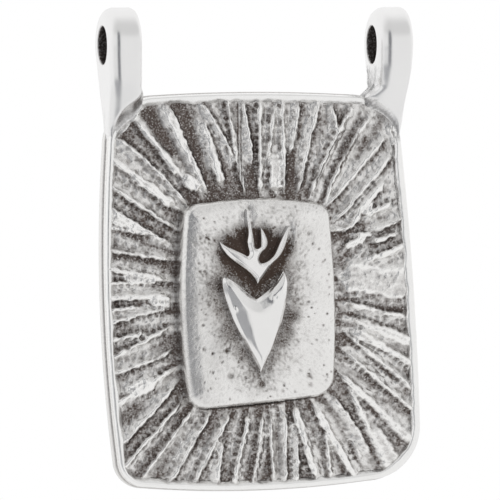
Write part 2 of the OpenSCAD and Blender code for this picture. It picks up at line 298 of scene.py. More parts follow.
def flame_outline(steps: int) -> np.ndarray:
    """Outline of the flame, clockwise from its stem round the four tongues.

    Args:
        steps: Points on each of its 13 curves.

    Returns:
        The points in mm, one row each.
    """
    stem, waist_2 = (0.02, 0.0), (-0.115, 0.62)
    belly_3, valley_3 = (0.102, 0.44), (0.075, 0.275)
    tips = ((-0.52, 0.57), (-0.13, 1.0), (0.07, 0.755), (0.48, 0.77))
    valley_1, valley_2 = (-0.125, 0.365), ((-0.018, 0.48), (0.078, 0.5))
    waist_4 = ((0.27, 0.38), (0.31, 0.33))
    shape = np.concatenate([
        bezier([stem, (-0.07, 0.235), (-0.425, 0.265), tips[0]], steps),
        bezier([tips[0], (-0.4, 0.48), (-0.265, 0.45), valley_1], steps),
        bezier([valley_1, (-0.045, 0.41), (-0.155, 0.51), waist_2], steps),
        bezier([waist_2, (-0.085, 0.71), (-0.145, 0.86), tips[1]], steps),
        bezier([tips[1], (-0.045, 0.75), valley_2[0]], steps),
        bezier([valley_2[0], (0.03, 0.445), valley_2[1]], steps),
        bezier([valley_2[1], (0.083, 0.62), tips[2]], steps),
        bezier([tips[2], (0.19, 0.62), (0.21, 0.51), belly_3], steps),
        bezier([belly_3, (0.045, 0.39), (0.02, 0.31), valley_3], steps),
        bezier([valley_3, (0.14, 0.265), (0.225, 0.325), waist_4[0]], steps),
        bezier([waist_4[0], (0.31, 0.43), (0.35, 0.57), tips[3]], steps),
        bezier([tips[3], (0.48, 0.61), (0.425, 0.44), waist_4[1]], steps),
        bezier([waist_4[1], (0.21, 0.265), (0.165, 0.16), stem], steps),
    ])
    width, height = 4.65, 4.9
    place = np.array([-0.475, -15.8])
    return place + shape * (width, height)


def level_ring(points: np.ndarray, y: Values, tarnish: Values) -> np.ndarray:
    """Ring for a loft, from an outline in X and Z.

    Args:
        points: The outline, one row each.
        y: Place of its points along Y in mm.
        tarnish: How dark its points are, from 0 to 1.

    Returns:
        Rows of X, Y, Z and tarnish.
    """
    count = len(points)
    return np.column_stack([
        points[:, 0], np.broadcast_to(y, count), points[:, 1], np.broadcast_to(tarnish, count),
    ])


def tarnish_for(level: np.ndarray) -> np.ndarray:
    """Tarnish that makes silver look as bright as a grey level in a picture.

    Args:
        level: Grey levels from 0 to 1, as the eye takes them.

    Returns:
        Tarnish from 0 to 1.
    """
    bright, dark, eye = 0.84, 0.055, 2.2
    light = np.clip(level, 0.0, 1.0) ** eye
    return np.clip((bright - light) / (bright - dark), 0.0, 1.0)


class Ends(Enum):
    """How a loft is closed."""

    POINTED = "each end ring closes to a point"
    WELDED = "the last ring is welded to the first"


def loft(rings: Sequence[np.ndarray], ends: Ends) -> bmesh.types.BMesh:
    """Skins a shell over rings by extruding one loop of edges from ring to ring.

    Args:
        rings: Rings of equal length, with rows of X, Y, Z and tarnish.
        ends: How the loft is closed.

    Returns:
        The closed shell, with its tarnish on its vertices.
    """
    shell = bmesh.new()
    place = shell.verts.layers.int.new("place")
    tarnish = shell.verts.layers.float.new(TARNISH)

    def put(verts: Sequence[bmesh.types.BMVert], ring: np.ndarray) -> None:
        """Moves the loop's vertices to a ring.

        Args:
            verts: Vertices of the loop.
            ring: Rows of X, Y, Z and tarnish.
        """
        rows = ring.tolist()
        for vert in verts:
            x, y, z, shade = rows[vert[place]]
            vert.co = (x, y, z)
            vert[tarnish] = shade

    first = bmesh.ops.create_circle(shell, cap_ends=False, segments=len(rings[0]), radius=1.0)["verts"]
    for index, vert in enumerate(first):
        vert[place] = index
    put(first, rings[0])
    verts, edges = first, list(shell.edges)
    later = list(rings[1:])
    if ends is Ends.WELDED:
        later.append(rings[0])
    for ring in later:
        extruded = bmesh.ops.extrude_edge_only(shell, edges=edges)["geom"]
        verts = [item for item in extruded if isinstance(item, bmesh.types.BMVert)]
        fresh = set(verts)
        edges = [
            item for item in extruded
            if isinstance(item, bmesh.types.BMEdge) and fresh.issuperset(item.verts)
        ]
        put(verts, ring)
    if ends is Ends.WELDED:
        bmesh.ops.remove_doubles(shell, verts=first + verts, dist=WELD_MM)
    else:
        for loop, ring in ((first, rings[0]), (verts, rings[-1])):
            bmesh.ops.pointmerge(shell, verts=loop, merge_co=ring[:, :3].mean(axis=0))
    shell.verts.layers.int.remove(place)
    bmesh.ops.recalc_face_normals(shell, faces=shell.faces[:])
    return shell


def as_object(shell: bmesh.types.BMesh, name: str) -> bpy.types.Object:
    """Makes an object of a shell and links it to the scene.

    Args:
        shell: The shell, which is freed.
        name: Name of the object and of its mesh.

    Returns:
        The object.
    """
    mesh = bpy.data.meshes.new(name)
    shell.to_mesh(mesh)
    shell.free()
    made = bpy.data.objects.new(name, mesh)
    bpy.context.scene.collection.objects.link(made)
    return made


class NodeGraph:
    """Short ways to add and join shader nodes."""

    def __init__(self, tree: bpy.types.NodeTree) -> None:
        """Starts from an empty tree."""
        self.tree = tree
        tree.nodes.clear()

    def add(self, kind: str, **settings: object) -> bpy.types.Node:
        """Adds a node.

        Args:
            kind: Blender's name for the node's type.
            settings: Properties of the node.

        Returns:
            The node.
        """
        node = self.tree.nodes.new(kind)
        for name, value in settings.items():
            setattr(node, name, value)
        return node

    def feed(self, socket: bpy.types.NodeSocket, value: object) -> None:
        """Joins a socket to another, or sets its value.

        Args:
            socket: The socket to feed.
            value: Another socket, or the value.
        """
        if isinstance(value, bpy.types.NodeSocket):
            self.tree.links.new(value, socket)
        else:
            socket.default_value = value

    def math(self, operation: str, a: object, b: object, clamp: bool = False) -> bpy.types.NodeSocket:
        """Adds a calculation with two numbers.

        Args:
            operation: Blender's name for the operation.
            a: First number or socket.
            b: Second number or socket.
            clamp: Keeps the result between 0 and 1.

        Returns:
            The result's socket.
        """
        node = self.add("ShaderNodeMath", operation=operation, use_clamp=clamp)
        self.feed(node.inputs[0], a)
        self.feed(node.inputs[1], b)
        return node.outputs[0]

    def mix(self, share: object, a: object, b: object) -> bpy.types.NodeSocket:
        """Mixes two colours.

        Args:
            share: Share of the second colour.
            a: First colour or socket.
            b: Second colour or socket.

        Returns:
            The mixed colour's socket.
        """
        node = self.add("ShaderNodeMix", data_type="RGBA")
        colour_a, colour_b, colour_out = 6, 7, 2
        self.feed(node.inputs["Factor"], share)
        self.feed(node.inputs[colour_a], a)
        self.feed(node.inputs[colour_b], b)
        return node.outputs[colour_out]

    def cloud(self, coords: object, size_mm: float, detail: float) -> bpy.types.NodeSocket:
        """Adds a noise pattern.

        Args:
            coords: Coordinates to read.
            size_mm: Size of one cloud in mm.
            detail: Number of finer layers.

        Returns:
            The pattern's socket, from 0 to 1.
        """
        node = self.add("ShaderNodeTexNoise")
        self.feed(node.inputs["Vector"], coords)
        node.inputs["Scale"].default_value = 1.0 / (size_mm * MM)
        node.inputs["Detail"].default_value = detail
        node.inputs["Roughness"].default_value = 0.6
        return node.outputs["Fac"]

    def span(self, value: object, low: float, high: float) -> bpy.types.NodeSocket:
        """Maps 0 to 1 onto a span.

        Args:
            value: Number or socket from 0 to 1.
            low: Result at 0.
            high: Result at 1.

        Returns:
            The result's socket.
        """
        node = self.add("ShaderNodeMapRange")
        self.feed(node.inputs["Value"], value)
        node.inputs["To Min"].default_value = low
        node.inputs["To Max"].default_value = high
        return node.outputs["Result"]

    def step(self, value: object, low: float, high: float) -> bpy.types.NodeSocket:
        """Eases from 0 at low to 1 at high.

        Args:
            value: Number or socket.
            low: Value at which the step starts.
            high: Value at which the step ends.

        Returns:
            The result's socket.
        """
        node = self.add("ShaderNodeMapRange", interpolation_type="SMOOTHSTEP")
        self.feed(node.inputs["Value"], value)
        node.inputs["From Min"].default_value = low
        node.inputs["From Max"].default_value = high
        return node.outputs["Result"]


def opaque(colour: Colour) -> tuple[float, float, float, float]:
    """Colour with full alpha, as Blender's sockets take it."""
    return (*colour, 1.0)


@dataclass(frozen=True)
class SilverFinish:
    """Silver that is bright where it is rubbed and dark where its tarnish was left.

    Attributes:
        name: Name of the material.
        bright: Colour of the clean metal.
        dull: Colour of the clean metal in its cloudier patches.
        dark: Colour of the tarnish.
        brown: Colour of the tarnish in its warmer patches.
        gloss: Roughness of the clean metal.
        matt: Roughness of the tarnish.
        uneven: How far the grain changes the roughness.
        patch: Size of the cloudier and warmer patches in mm.
        patchy: How far those patches change the tarnish.
        grain: Size of the surface grain in mm.
        depth: Depth of the grain in mm.
        speckle: How far the grain breaks up the tarnish.
        glint: How far small bright specks, painted glints of clean metal, cut through the tarnish.
        speck: Size of those specks, as a share of the grain's.
        speck_at: Levels of their pattern at which they start and are full.
        scratch: Depth of the fine scratches in mm.
        scratch_w: Width of a scratch in mm.
        scratch_ratio: Width of a scratch as a share of its length.
        scratch_lean: Degrees that the scratches lean.
    """

    name: str
    bright: Colour
    dull: Colour
    dark: Colour = (0.055, 0.05, 0.048)
    brown: Colour = (0.075, 0.058, 0.052)
    gloss: float = 0.2
    matt: float = 0.5
    uneven: float = 0.05
    patch: float = 1.7
    patchy: float = 0.15
    grain: float = 0.12
    depth: float = 0.008
    speckle: float = 0.5
    glint: float = 0.0
    speck: float = 1.1
    speck_at: Pair = (0.63, 0.74)
    scratch: float = 0.002
    scratch_w: float = 0.07
    scratch_ratio: float = 0.06
    scratch_lean: float = 35.0

    def material(self) -> bpy.types.Material:
        """Builds the material, which reads the tarnish of the mesh.

        Returns:
            The material.
        """
        made = bpy.data.materials.new(self.name)
        made.use_nodes = True
        graph = NodeGraph(made.node_tree)
        coords = graph.add("ShaderNodeTexCoord").outputs["Object"]
        left = graph.add("ShaderNodeAttribute", attribute_name=TARNISH).outputs["Fac"]
        grain = graph.cloud(coords, self.grain, 3.0)
        clouds = graph.cloud(coords, self.patch, 3.0)
        broken = graph.math("MULTIPLY", left, graph.span(grain, 1.0 + self.speckle, 1.0 - self.speckle))
        # Painted glints: specks where the tarnish is cut away, so that clean metal shows as small highlights.
        specks = graph.step(graph.cloud(coords, self.speck * self.grain, 1.0), *self.speck_at)
        rubbed = graph.math("MULTIPLY", broken, graph.span(specks, 1.0, 1.0 - self.glint))
        patches = graph.span(clouds, 1.0 + self.patchy, 1.0 - self.patchy)
        amount = graph.math("MULTIPLY", rubbed, patches, clamp=True)
        metal = graph.mix(clouds, opaque(self.bright), opaque(self.dull))
        tarnish = graph.mix(clouds, opaque(self.dark), opaque(self.brown))
        base = graph.mix(amount, metal, tarnish)
        smooth = graph.span(amount, self.gloss, self.matt)
        rough = graph.math("ADD", smooth, graph.span(grain, -self.uneven, self.uneven))
        shader = graph.add("ShaderNodeBsdfPrincipled")
        shader.inputs["Metallic"].default_value = 1.0
        graph.feed(shader.inputs["Base Color"], base)
        graph.feed(shader.inputs["Roughness"], rough)
        graph.feed(shader.inputs["Normal"], self._bump(graph, coords, grain))
        output = graph.add("ShaderNodeOutputMaterial")
        graph.feed(output.inputs["Surface"], shader.outputs["BSDF"])
        return made

    def _bump(
        self, graph: NodeGraph, coords: bpy.types.NodeSocket, grain: bpy.types.NodeSocket
    ) -> bpy.types.NodeSocket:
        """Adds the relief of the grain and of fine scratches.

        Args:
            graph: Graph of the material.
            coords: Coordinates to read.
            grain: Pattern of the grain.

        Returns:
            The normal's socket.
        """
        turned = graph.add("ShaderNodeMapping")
        graph.feed(turned.inputs["Vector"], coords)
        turned.inputs["Rotation"].default_value = (0.0, math.radians(self.scratch_lean), 0.0)
        turned.inputs["Scale"].default_value = (1.0, 1.0, self.scratch_ratio)
        lines = graph.cloud(turned.outputs["Vector"], self.scratch_w, 2.0)
        grainy = graph.math("MULTIPLY", grain, self.depth)
        scratched = graph.math("MULTIPLY", lines, self.scratch)
        bump = graph.add("ShaderNodeBump")
        bump.inputs["Strength"].default_value = 1.0
        bump.inputs["Distance"].default_value = MM
        graph.feed(bump.inputs["Height"], graph.math("ADD", grainy, scratched))
        return bump.outputs["Normal"]


POLISHED = SilverFinish(
    "polished silver", bright=(0.88, 0.875, 0.87), dull=(0.83, 0.825, 0.825),
    gloss=0.24, grain=0.14, depth=0.002, speckle=0.8, glint=0.6, scratch=0.001,
)
RIM_WORN = SilverFinish(
    "rim silver", bright=(0.97, 0.965, 0.955), dull=(0.88, 0.875, 0.865),
    gloss=0.22, depth=0.006, speckle=0.8, glint=0.6,
)
SATIN = SilverFinish(
    "satin silver", bright=(0.915, 0.906, 0.893), dull=(0.82, 0.81, 0.792),
    dark=(0.06, 0.048, 0.042), brown=(0.1, 0.07, 0.055),
    gloss=0.24, grain=0.1, depth=0.012, speckle=0.9, glint=0.4,
)
RAYED = SilverFinish(
    "blackened silver", bright=(0.98, 0.972, 0.958), dull=(0.9, 0.89, 0.872),
    dark=(0.088, 0.073, 0.067), brown=(0.112, 0.085, 0.073),
    gloss=0.22, matt=0.42, depth=0.02, speckle=0.8, glint=0.6,
)
BURNISHED = SilverFinish(
    "burnished silver", bright=(0.89, 0.885, 0.875), dull=(0.84, 0.83, 0.82),
    gloss=0.18, grain=0.2, depth=0.003,
)


class Piece(ABC):
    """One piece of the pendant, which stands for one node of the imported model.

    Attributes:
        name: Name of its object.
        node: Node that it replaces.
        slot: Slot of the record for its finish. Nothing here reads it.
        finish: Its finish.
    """

    name: str
    node: str
    slot: str
    finish: SilverFinish

    @abstractmethod
    def shape(self) -> bmesh.types.BMesh:
        """Builds the piece in mm, with its tarnish on its vertices."""

    def make(self) -> bpy.types.Object:
        """Builds the piece, dresses it and fastens it to the pendant.

        Returns:
            The finished object.
        """
        shell = self.shape()
        bmesh.ops.scale(shell, vec=(MM, MM, MM), verts=shell.verts)
        piece = as_object(shell, self.name)
        piece.data.shade_smooth()
        piece.data.materials.append(self.finish.material())
        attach(piece, BODY)
        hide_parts(self.node)
        return piece


class RimPiece(Piece):
    """Piece that follows the outline of the plate.

    Attributes:
        arc_steps: Steps round each corner.
        edge_steps: Steps along each edge.
    """

    arc_steps: int
    edge_steps: int

    def _rim(self, inset: float) -> np.ndarray:
        """Outline of the plate at an inset in mm."""
        return PLATE.ring(inset, self.arc_steps, self.edge_steps)


def front_of(node: str) -> float:
    """Place of a node's front along Y, in mm."""
    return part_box(node)[0].y / MM


def back_of(node: str) -> float:
    """Place of a node's back along Y, in mm."""
    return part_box(node)[1].y / MM


@dataclass
class BackPlate(RimPiece):
    """Plain sheet that carries everything, with a soft edge and a lightly planished back.

    Attributes:
        edge_r: Radius of its back edge in mm.
        front_r: Radius of its front edge in mm.
        dent: Depth of the planishing in mm.
        dent_w: Width of its large and its small dents in mm.
        stain: Tarnish of its back.
        stain_w: Width of the patches of that tarnish in mm.
        back_rows: Rows of faces across its back.
    """

    edge_r: float = 0.22
    front_r: float = 0.132
    dent: float = 0.03
    dent_w: Pair = (2.3, 0.9)
    stain: float = 0.12
    stain_w: float = 3.1
    back_rows: int = 26
    name: str = "back_plate_dressed"
    node: str = "back_plate"
    slot: str = "satin_silver"
    finish: SilverFinish = SATIN
    arc_steps: int = 20
    edge_steps: int = 60

    def shape(self) -> bmesh.types.BMesh:
        """Builds the plate in mm, from the middle of its back round its edge to the middle of its front.

        Returns:
            The closed shell.
        """
        back, front = back_of(self.node), front_of(self.node)
        rim = self._rim(self.edge_r)
        middle = rim.mean(axis=0)
        rings = []
        for share in np.linspace(0.02, 1.0, self.back_rows):
            spots = middle + (rim - middle) * share
            x, z = spots.T
            dents = ripple(x, z, self.dent_w[0], 1) + 0.5 * ripple(x, z, self.dent_w[1], 2)
            dents *= self.dent * smoothstep(1.0, 0.9, share)
            stain = self.stain + 0.1 * ripple(x, z, self.stain_w, 3)
            rings.append(level_ring(spots, back - self.dent + dents, stain))
        for turn in np.radians([22.5, 45.0, 67.5, 90.0]):
            inset = self.edge_r * (1.0 - math.sin(turn))
            y = back - self.edge_r * (1.0 - math.cos(turn)) - self.dent * (1.0 - math.sin(turn))
            rings.append(level_ring(self._rim(inset), y, 0.05))
        for turn in np.radians([0.0, 30.0, 60.0, 90.0]):
            inset = self.front_r * (1.0 - math.cos(turn))
            y = front + self.front_r * (1.0 - math.sin(turn))
            rings.append(level_ring(self._rim(inset), y, 0.1 + 0.3 * turn))
        rings.append(level_ring(middle + (rim - middle) * 0.05, front, 0.9))
        return loft(rings, Ends.POINTED)


@dataclass(frozen=True)
class Spot:
    """Round spot on a face: a pit, a boss, a stain or a rubbed place.

    Attributes:
        place: Its middle, as X and Z in mm.
        radius: Its radius in mm.
        depth: Its depth in mm, below 0 for a boss. For a stain or a rubbed place, its strength.
    """

    place: Point
    radius: float
    depth: float

    def far(self, x: np.ndarray, z: np.ndarray) -> np.ndarray:
        """Distance of points in X and Z from its middle, in mm."""
        return np.hypot(x - self.place[0], z - self.place[1])


@dataclass(frozen=True)
class Ray:
    """One ray that was cut in the field.

    Attributes:
        outer: End at the border, as X and Z in mm.
        inner: End at the tablet.
        bow: Sideways bow in mm, to the left of the way inwards.
        crest: Half the width of its flat crest in mm, at the outer and the inner end.
        flank: Width of its sloping flanks in mm.
        shine: How high and bright it is, as a share.
        steps: Straight steps that its bow is drawn with.
    """

    outer: Point
    inner: Point
    bow: float = 0.0
    crest: Pair = (0.06, 0.05)
    flank: float = 0.55
    shine: float = 1.0
    steps: int = 6

    def path(self) -> np.ndarray:
        """Draws the ray as a bowed line.

        Returns:
            Points along the ray in X and Z, one row each.
        """
        outer, inner = np.array(self.outer), np.array(self.inner)
        along = (inner - outer) / np.linalg.norm(inner - outer)
        middle = (outer + inner) / 2 + 2 * self.bow * np.array([-along[1], along[0]])
        points = bezier([self.outer, tuple(middle), self.inner], self.steps)
        return np.vstack([points, inner])


LEFT_RAYS = (
    Ray((-9.9, -7.4), (-5.4, -10.8), crest=(0.08, 0.26)),
    Ray((-9.9, -9.3), (-5.5, -12.2)),
    Ray((-10.0, -10.7), (-5.9, -13.1), bow=-0.1),
    Ray((-10.1, -12.0), (-7.3, -12.5)),
    Ray((-9.8, -11.4), (-8.1, -12.1), crest=(0.35, 0.12)),
    Ray((-10.3, -13.5), (-5.8, -14.2)),
    Ray((-10.3, -14.7), (-6.0, -15.6)),
    Ray((-10.3, -15.7), (-7.4, -15.7)),
    Ray((-8.9, -15.3), (-6.7, -15.4), crest=(0.33, 0.25)),
    Ray((-10.2, -16.7), (-6.0, -16.6), crest=(0.1, 0.15)),
    Ray((-7.2, -16.9), (-5.8, -17.0), crest=(0.25, 0.32)),
    Ray((-10.1, -17.5), (-8.1, -17.3)),
    Ray((-10.0, -18.4), (-6.0, -17.4), bow=0.1),
    Ray((-10.0, -19.5), (-7.7, -19.0)),
    Ray((-9.8, -20.6), (-5.9, -18.6)),
    Ray((-10.0, -21.7), (-5.7, -20.1), bow=-0.15),
    Ray((-9.7, -23.7), (-5.7, -21.4), crest=(0.14, 0.1)),
    Ray((-8.6, -22.9), (-7.1, -22.2), crest=(0.42, 0.32)),
    Ray((-9.3, -26.4), (-5.5, -22.4)),
)
LOW_RAYS = (
    Ray((-9.2, -27.9), (-5.1, -23.5)),
    Ray((-7.8, -28.4), (-4.3, -23.9)),
    Ray((-5.9, -28.7), (-3.1, -24.2)),
    Ray((-4.3, -28.8), (-1.8, -24.3)),
    Ray((-2.8, -28.9), (-2.4, -26.3)),
    Ray((-1.7, -29.0), (-0.6, -24.4)),
    Ray((-0.4, -29.1), (0.4, -24.5), bow=-0.05),
    Ray((1.0, -28.8), (0.85, -24.3)),
    Ray((1.9, -28.8), (1.9, -24.2)),
    Ray((2.7, -28.9), (2.7, -25.6)),
    Ray((4.0, -28.7), (2.6, -23.9), bow=0.1, crest=(0.12, 0.2)),
    Ray((5.0, -28.7), (4.6, -25.6)),
    Ray((6.6, -28.6), (3.9, -23.9), crest=(0.09, 0.2)),
    Ray((7.0, -27.5), (6.6, -26.6)),
    Ray((7.6, -27.0), (5.2, -23.3), bow=-0.1),
    Ray((8.9, -28.2), (6.3, -22.8), crest=(0.18, 0.08)),
    Ray((9.2, -27.8), (8.0, -25.4), crest=(0.55, 0.22)),
)
RIGHT_RAYS = (
    Ray((10.5, -26.3), (5.6, -21.7), crest=(0.22, 0.09)),
    Ray((10.8, -24.4), (6.2, -20.5)),
    Ray((10.6, -22.8), (6.2, -19.2)),
    Ray((10.6, -21.2), (6.7, -19.0), crest=(0.09, 0.25)),
    Ray((10.6, -19.8), (6.5, -18.1), crest=(0.28, 0.1)),
    Ray((10.1, -18.0), (6.2, -17.1), bow=0.1),
    Ray((10.4, -15.95), (5.9, -15.4), crest=(0.95, 0.85), flank=1.1, shine=0.8),
    Ray((10.2, -14.9), (8.3, -15.1), shine=0.8),
    Ray((10.2, -13.3), (7.6, -14.2), bow=0.1, crest=(0.08, 0.16)),
    Ray((9.6, -12.6), (8.1, -13.1), crest=(0.1, 0.12)),
    Ray((7.3, -12.9), (6.1, -13.5), crest=(0.18, 0.12)),
    Ray((8.0, -12.65), (6.9, -12.55), crest=(0.08, 0.1)),
    Ray((10.0, -11.6), (8.0, -12.4), crest=(0.08, 0.1)),
    Ray((6.4, -12.2), (5.4, -12.35)),
    Ray((9.3, -10.55), (7.6, -11.3), crest=(0.08, 0.14)),
    Ray((8.7, -9.3), (6.5, -12.1), crest=(0.12, 0.14), bow=-0.1),
    Ray((7.9, -10.4), (7.2, -11.2), crest=(0.3, 0.24)),
    Ray((9.45, -5.47), (9.76, -6.35), crest=(0.03, 0.03), flank=0.2),
    Ray((9.25, -5.6), (9.6, -6.7), crest=(0.03, 0.03), flank=0.2),
    Ray((9.2, -7.6), (5.6, -11.6)),
)
TOP_RAYS = (
    Ray((-7.5, -4.0), (-9.15, -5.9), crest=(0.03, 0.03), flank=0.15),
    Ray((-9.3, -6.2), (-4.8, -10.4), bow=0.15),
    Ray((-8.1, -5.0), (-5.1, -8.7), crest=(0.1, 0.15)),
    Ray((-4.9, -8.8), (-3.8, -9.5), crest=(0.33, 0.3)),
    Ray((-6.1, -4.2), (-3.3, -9.8), crest=(0.26, 0.09)),
    Ray((-3.5, -5.3), (-2.2, -9.3), crest=(0.18, 0.2)),
    Ray((-3.5, -4.0), (-1.4, -7.5)),
    Ray((-1.9, -3.8), (-0.7, -9.9), bow=-0.1),
    Ray((-0.85, -3.9), (-0.2, -7.5)),
    Ray((0.3, -3.8), (0.3, -9.8)),
    Ray((1.25, -4.5), (0.9, -7.5)),
    Ray((1.35, -7.5), (1.4, -9.7), crest=(0.38, 0.48), shine=0.75),
    Ray((1.85, -3.8), (1.95, -9.8)),
    Ray((3.0, -3.9), (2.4, -7.2)),
    Ray((4.3, -3.9), (2.9, -9.8)),
    Ray((5.3, -4.2), (5.6, -5.8)),
    Ray((6.6, -4.3), (3.8, -9.9), bow=-0.2),
    Ray((7.7, -5.0), (4.8, -10.3), bow=-0.25),
    Ray((8.8, -6.3), (5.0, -10.6)),
)
SHADOWS = (
    Ray((-7.3, -4.5), (-5.7, -7.0), crest=(0.35, 0.2)),
    Ray((-5.2, -4.2), (-3.9, -7.6), crest=(0.45, 0.2)),
    Ray((2.35, -7.2), (2.35, -9.9), crest=(0.22, 0.3)),
    Ray((-2.6, -8.6), (-2.6, -9.9), crest=(0.3, 0.8), shine=0.8),
    Ray((-0.4, -8.2), (-0.3, -9.9), crest=(0.2, 0.4), shine=0.8),
)
DIMPLES = (
    (9.55, -10.5), (8.35, -12.6), (9.1, -12.3), (7.75, -13.0), (7.0, -13.4), (9.2, -12.95),
    (6.25, -12.65), (6.25, -13.8), (7.4, -11.95), (8.6, -11.6),
)
RUBBED = (
    Spot((-7.1, -17.3), 2.6, 0.14), Spot((-7.1, -21.5), 2.6, 0.16), Spot((-6.6, -24.6), 2.2, 0.12),
    Spot((7.6, -7.0), 2.2, -0.17), Spot((4.4, -27.0), 2.2, 0.14), Spot((6.6, -16.4), 1.6, 0.12),
    Spot((6.6, -22.6), 2.0, 0.12), Spot((7.8, -20.4), 1.6, 0.1), Spot((-1.3, -5.7), 1.4, 0.1),
    Spot((2.9, -7.2), 1.6, 0.12),
)


@dataclass
class RayFrame(RimPiece):
    """Carved sheet with the rays, round a window for the tablet.

    Attributes:
        ledge: Distance from the plate's edge to the sheet's edge in mm.
        chamfer: Width and height of the chamfers along that edge in mm.
        field_inset: Distance from the plate's edge to the start of the field in mm.
        clearance: Room between the window and the tablet in mm.
        rise: Height of the crests above the floor in mm.
        squeeze: How far the furrows' pattern is drawn together along the rays.
        bead: Distance in mm between the punch marks beside a ray.
        dimple: Distance between the dimples of the floor in mm.
        dimple_r: Radius in mm of the deeper dimples, at their edge and at their bottom.
        grooves: Places along X in mm of two fine grooves above the tablet.
        groove_w: Half the width of a groove in mm, at its edge and at its bottom.
        groove_ends: Places along Z in mm between which the grooves run.
        floor_tone: Grey level of the floor.
        floor_tones: Darkest and brightest grey level that its texture gives it.
        crest_tone: Grey level of the rays' flat crests.
        seed: Picks which flanks of the rays get the painted light and which the painted shade.
        rows: Rows of faces from the border to the tablet.
        rays: The rays.
        shadows: Smooth dark strips between some of the rays.
        dimples: Deeper dimples at the right, as X and Z in mm.
        rubbed: Places that are rubbed brighter, or darker where the depth is below 0.
    """

    ledge: float = 0.08
    chamfer: Pair = (0.04, 0.05)
    field_inset: float = 0.2
    clearance: float = 0.02
    rise: float = 0.34
    squeeze: float = 0.16
    bead: float = 0.43
    dimple: float = 0.42
    dimple_r: Pair = (0.3, 0.12)
    grooves: Pair = (-1.15, -0.95)
    groove_w: Pair = (0.08, 0.02)
    groove_ends: Pair = (-4.0, -10.0)
    floor_tone: float = 0.6
    floor_tones: Pair = (0.27, 0.85)
    crest_tone: float = 0.83
    seed: int = 500
    rows: int = 74
    name: str = "ray_frame_dressed"
    node: str = "ray_frame"
    slot: str = "oxidised_silver"
    finish: SilverFinish = RAYED
    arc_steps: int = 36
    edge_steps: int = 228
    rays: tuple[Ray, ...] = LEFT_RAYS + LOW_RAYS + RIGHT_RAYS + TOP_RAYS
    shadows: tuple[Ray, ...] = SHADOWS
    dimples: tuple[Point, ...] = DIMPLES
    rubbed: tuple[Spot, ...] = RUBBED

    def shape(self) -> bmesh.types.BMesh:
        """Builds the sheet in mm: up its outer edge, across the carved field and down the window.

        Returns:
            The closed shell.
        """
        back, floor = back_of(self.node), back_of("border_wire")
        outer = self._rim(self.field_inset)
        inner = TABLET.ring(-self.clearance, self.arc_steps, self.edge_steps)
        wide, high = self.chamfer
        rings = [
            level_ring(self._rim(self.ledge + wide), back, 0.5),
            level_ring(self._rim(self.ledge), back - high, 0.3),
            level_ring(self._rim(self.ledge), floor + high, 0.05),
        ]
        shares = np.linspace(0.0, 1.0, self.rows)
        spots = np.concatenate([outer + (inner - outer) * share for share in shares])
        reach = np.repeat(shares, len(outer))
        halfway = np.tile((outer + inner) / 2, (self.rows, 1))
        height, tarnish = self._relief(spots, halfway + self.squeeze * (spots - halfway), reach)
        rings.extend(np.split(level_ring(spots, floor - height, tarnish), self.rows))
        rings.append(level_ring(inner, back, 1.0))
        return loft(rings, Ends.WELDED)

    def _relief(
        self, spots: np.ndarray, squeezed: np.ndarray, reach: np.ndarray
    ) -> tuple[np.ndarray, np.ndarray]:
        """Carves the rays and the furrows between them.

        Args:
            spots: Points of the field in X and Z, one row each.
            squeezed: The same points, drawn together along the rays.
            reach: Share of the way from the border to the tablet.

        Returns:
            The height above the floor in mm, and the tarnish from 0 to 1.
        """
        x, z = spots.T
        across, down = squeezed.T
        grain = ripple(x, z, 0.2, 6) + 0.7 * ripple(x, z, 0.11, 18)
        lumps = ripple(x, z, 0.45, 7)
        bowl, net = self._punched(x, z)
        ragged = 0.05 * lumps + 0.035 * grain + 0.05 * bowl
        crest, line, inside, painted_flank_light, beads = self._rays(x, z, ragged)
        shadow = self._shaded(x, z, 0.1 * lumps + 0.06 * grain) * smoothstep(0.9, 0.4, crest)
        for place in self.dimples:
            far = np.hypot(x - place[0], z - place[1]) + 0.06 * lumps
            beads = np.maximum(beads, smoothstep(*self.dimple_r, far))
        line *= 1.0 - 0.5 * smoothstep(0.1, 0.45, ripple(x, z, 0.9, 24))
        furrow = ripple(across, down, 0.75, 26) + 0.5 * ripple(across, down, 0.3, 27)
        smooth = smoothstep(-0.1, -0.4, furrow) * smoothstep(1.0, 0.3, crest)
        groove = self._grooved(x, z)
        deep = smoothstep(0.55, 1.0, reach)
        rim = smoothstep(0.1, 0.0, reach)
        foot = smoothstep(0.975, 1.0, reach)
        height = self.rise * crest * (1.0 + 0.18 * lumps) - 0.08 * deep - 0.1 * groove + 0.06 * furrow
        height += (0.03 * grain - 0.06 * bowl + 0.04 * net) * (1.0 - 0.8 * crest) * (1.0 - 0.6 * smooth)
        height -= 0.09 * beads + 0.06 * shadow
        height = np.maximum(height, 0.25 * rim)
        level = self.floor_tone + 0.34 * furrow + 0.1 * ripple(x, z, 2.4, 8)
        level += 0.1 * smoothstep(2.0, 8.0, x) + 0.07 * smoothstep(-11.5, -9.0, z)
        for spot in self.rubbed:
            level += spot.depth * smoothstep(1.0, 0.2, spot.far(x, z) / spot.radius)
        # The light and shade painted on the rays' flanks is added to the level here.
        level += (0.16 * grain - 0.2 * bowl + 0.06 * net) * (1.0 - 0.6 * smooth) + painted_flank_light - 0.14 * deep
        level = np.clip(level - 0.2 * beads, *self.floor_tones)
        level += (self.floor_tones[0] - level) * shadow
        level += (self.crest_tone + 0.1 * lumps + 0.1 * grain - level) * inside
        level += (1.0 - level) * line - 0.35 * groove
        level = np.maximum(level, 0.75 * rim) - 0.25 * foot
        return height * (1.0 - foot), tarnish_for(level)

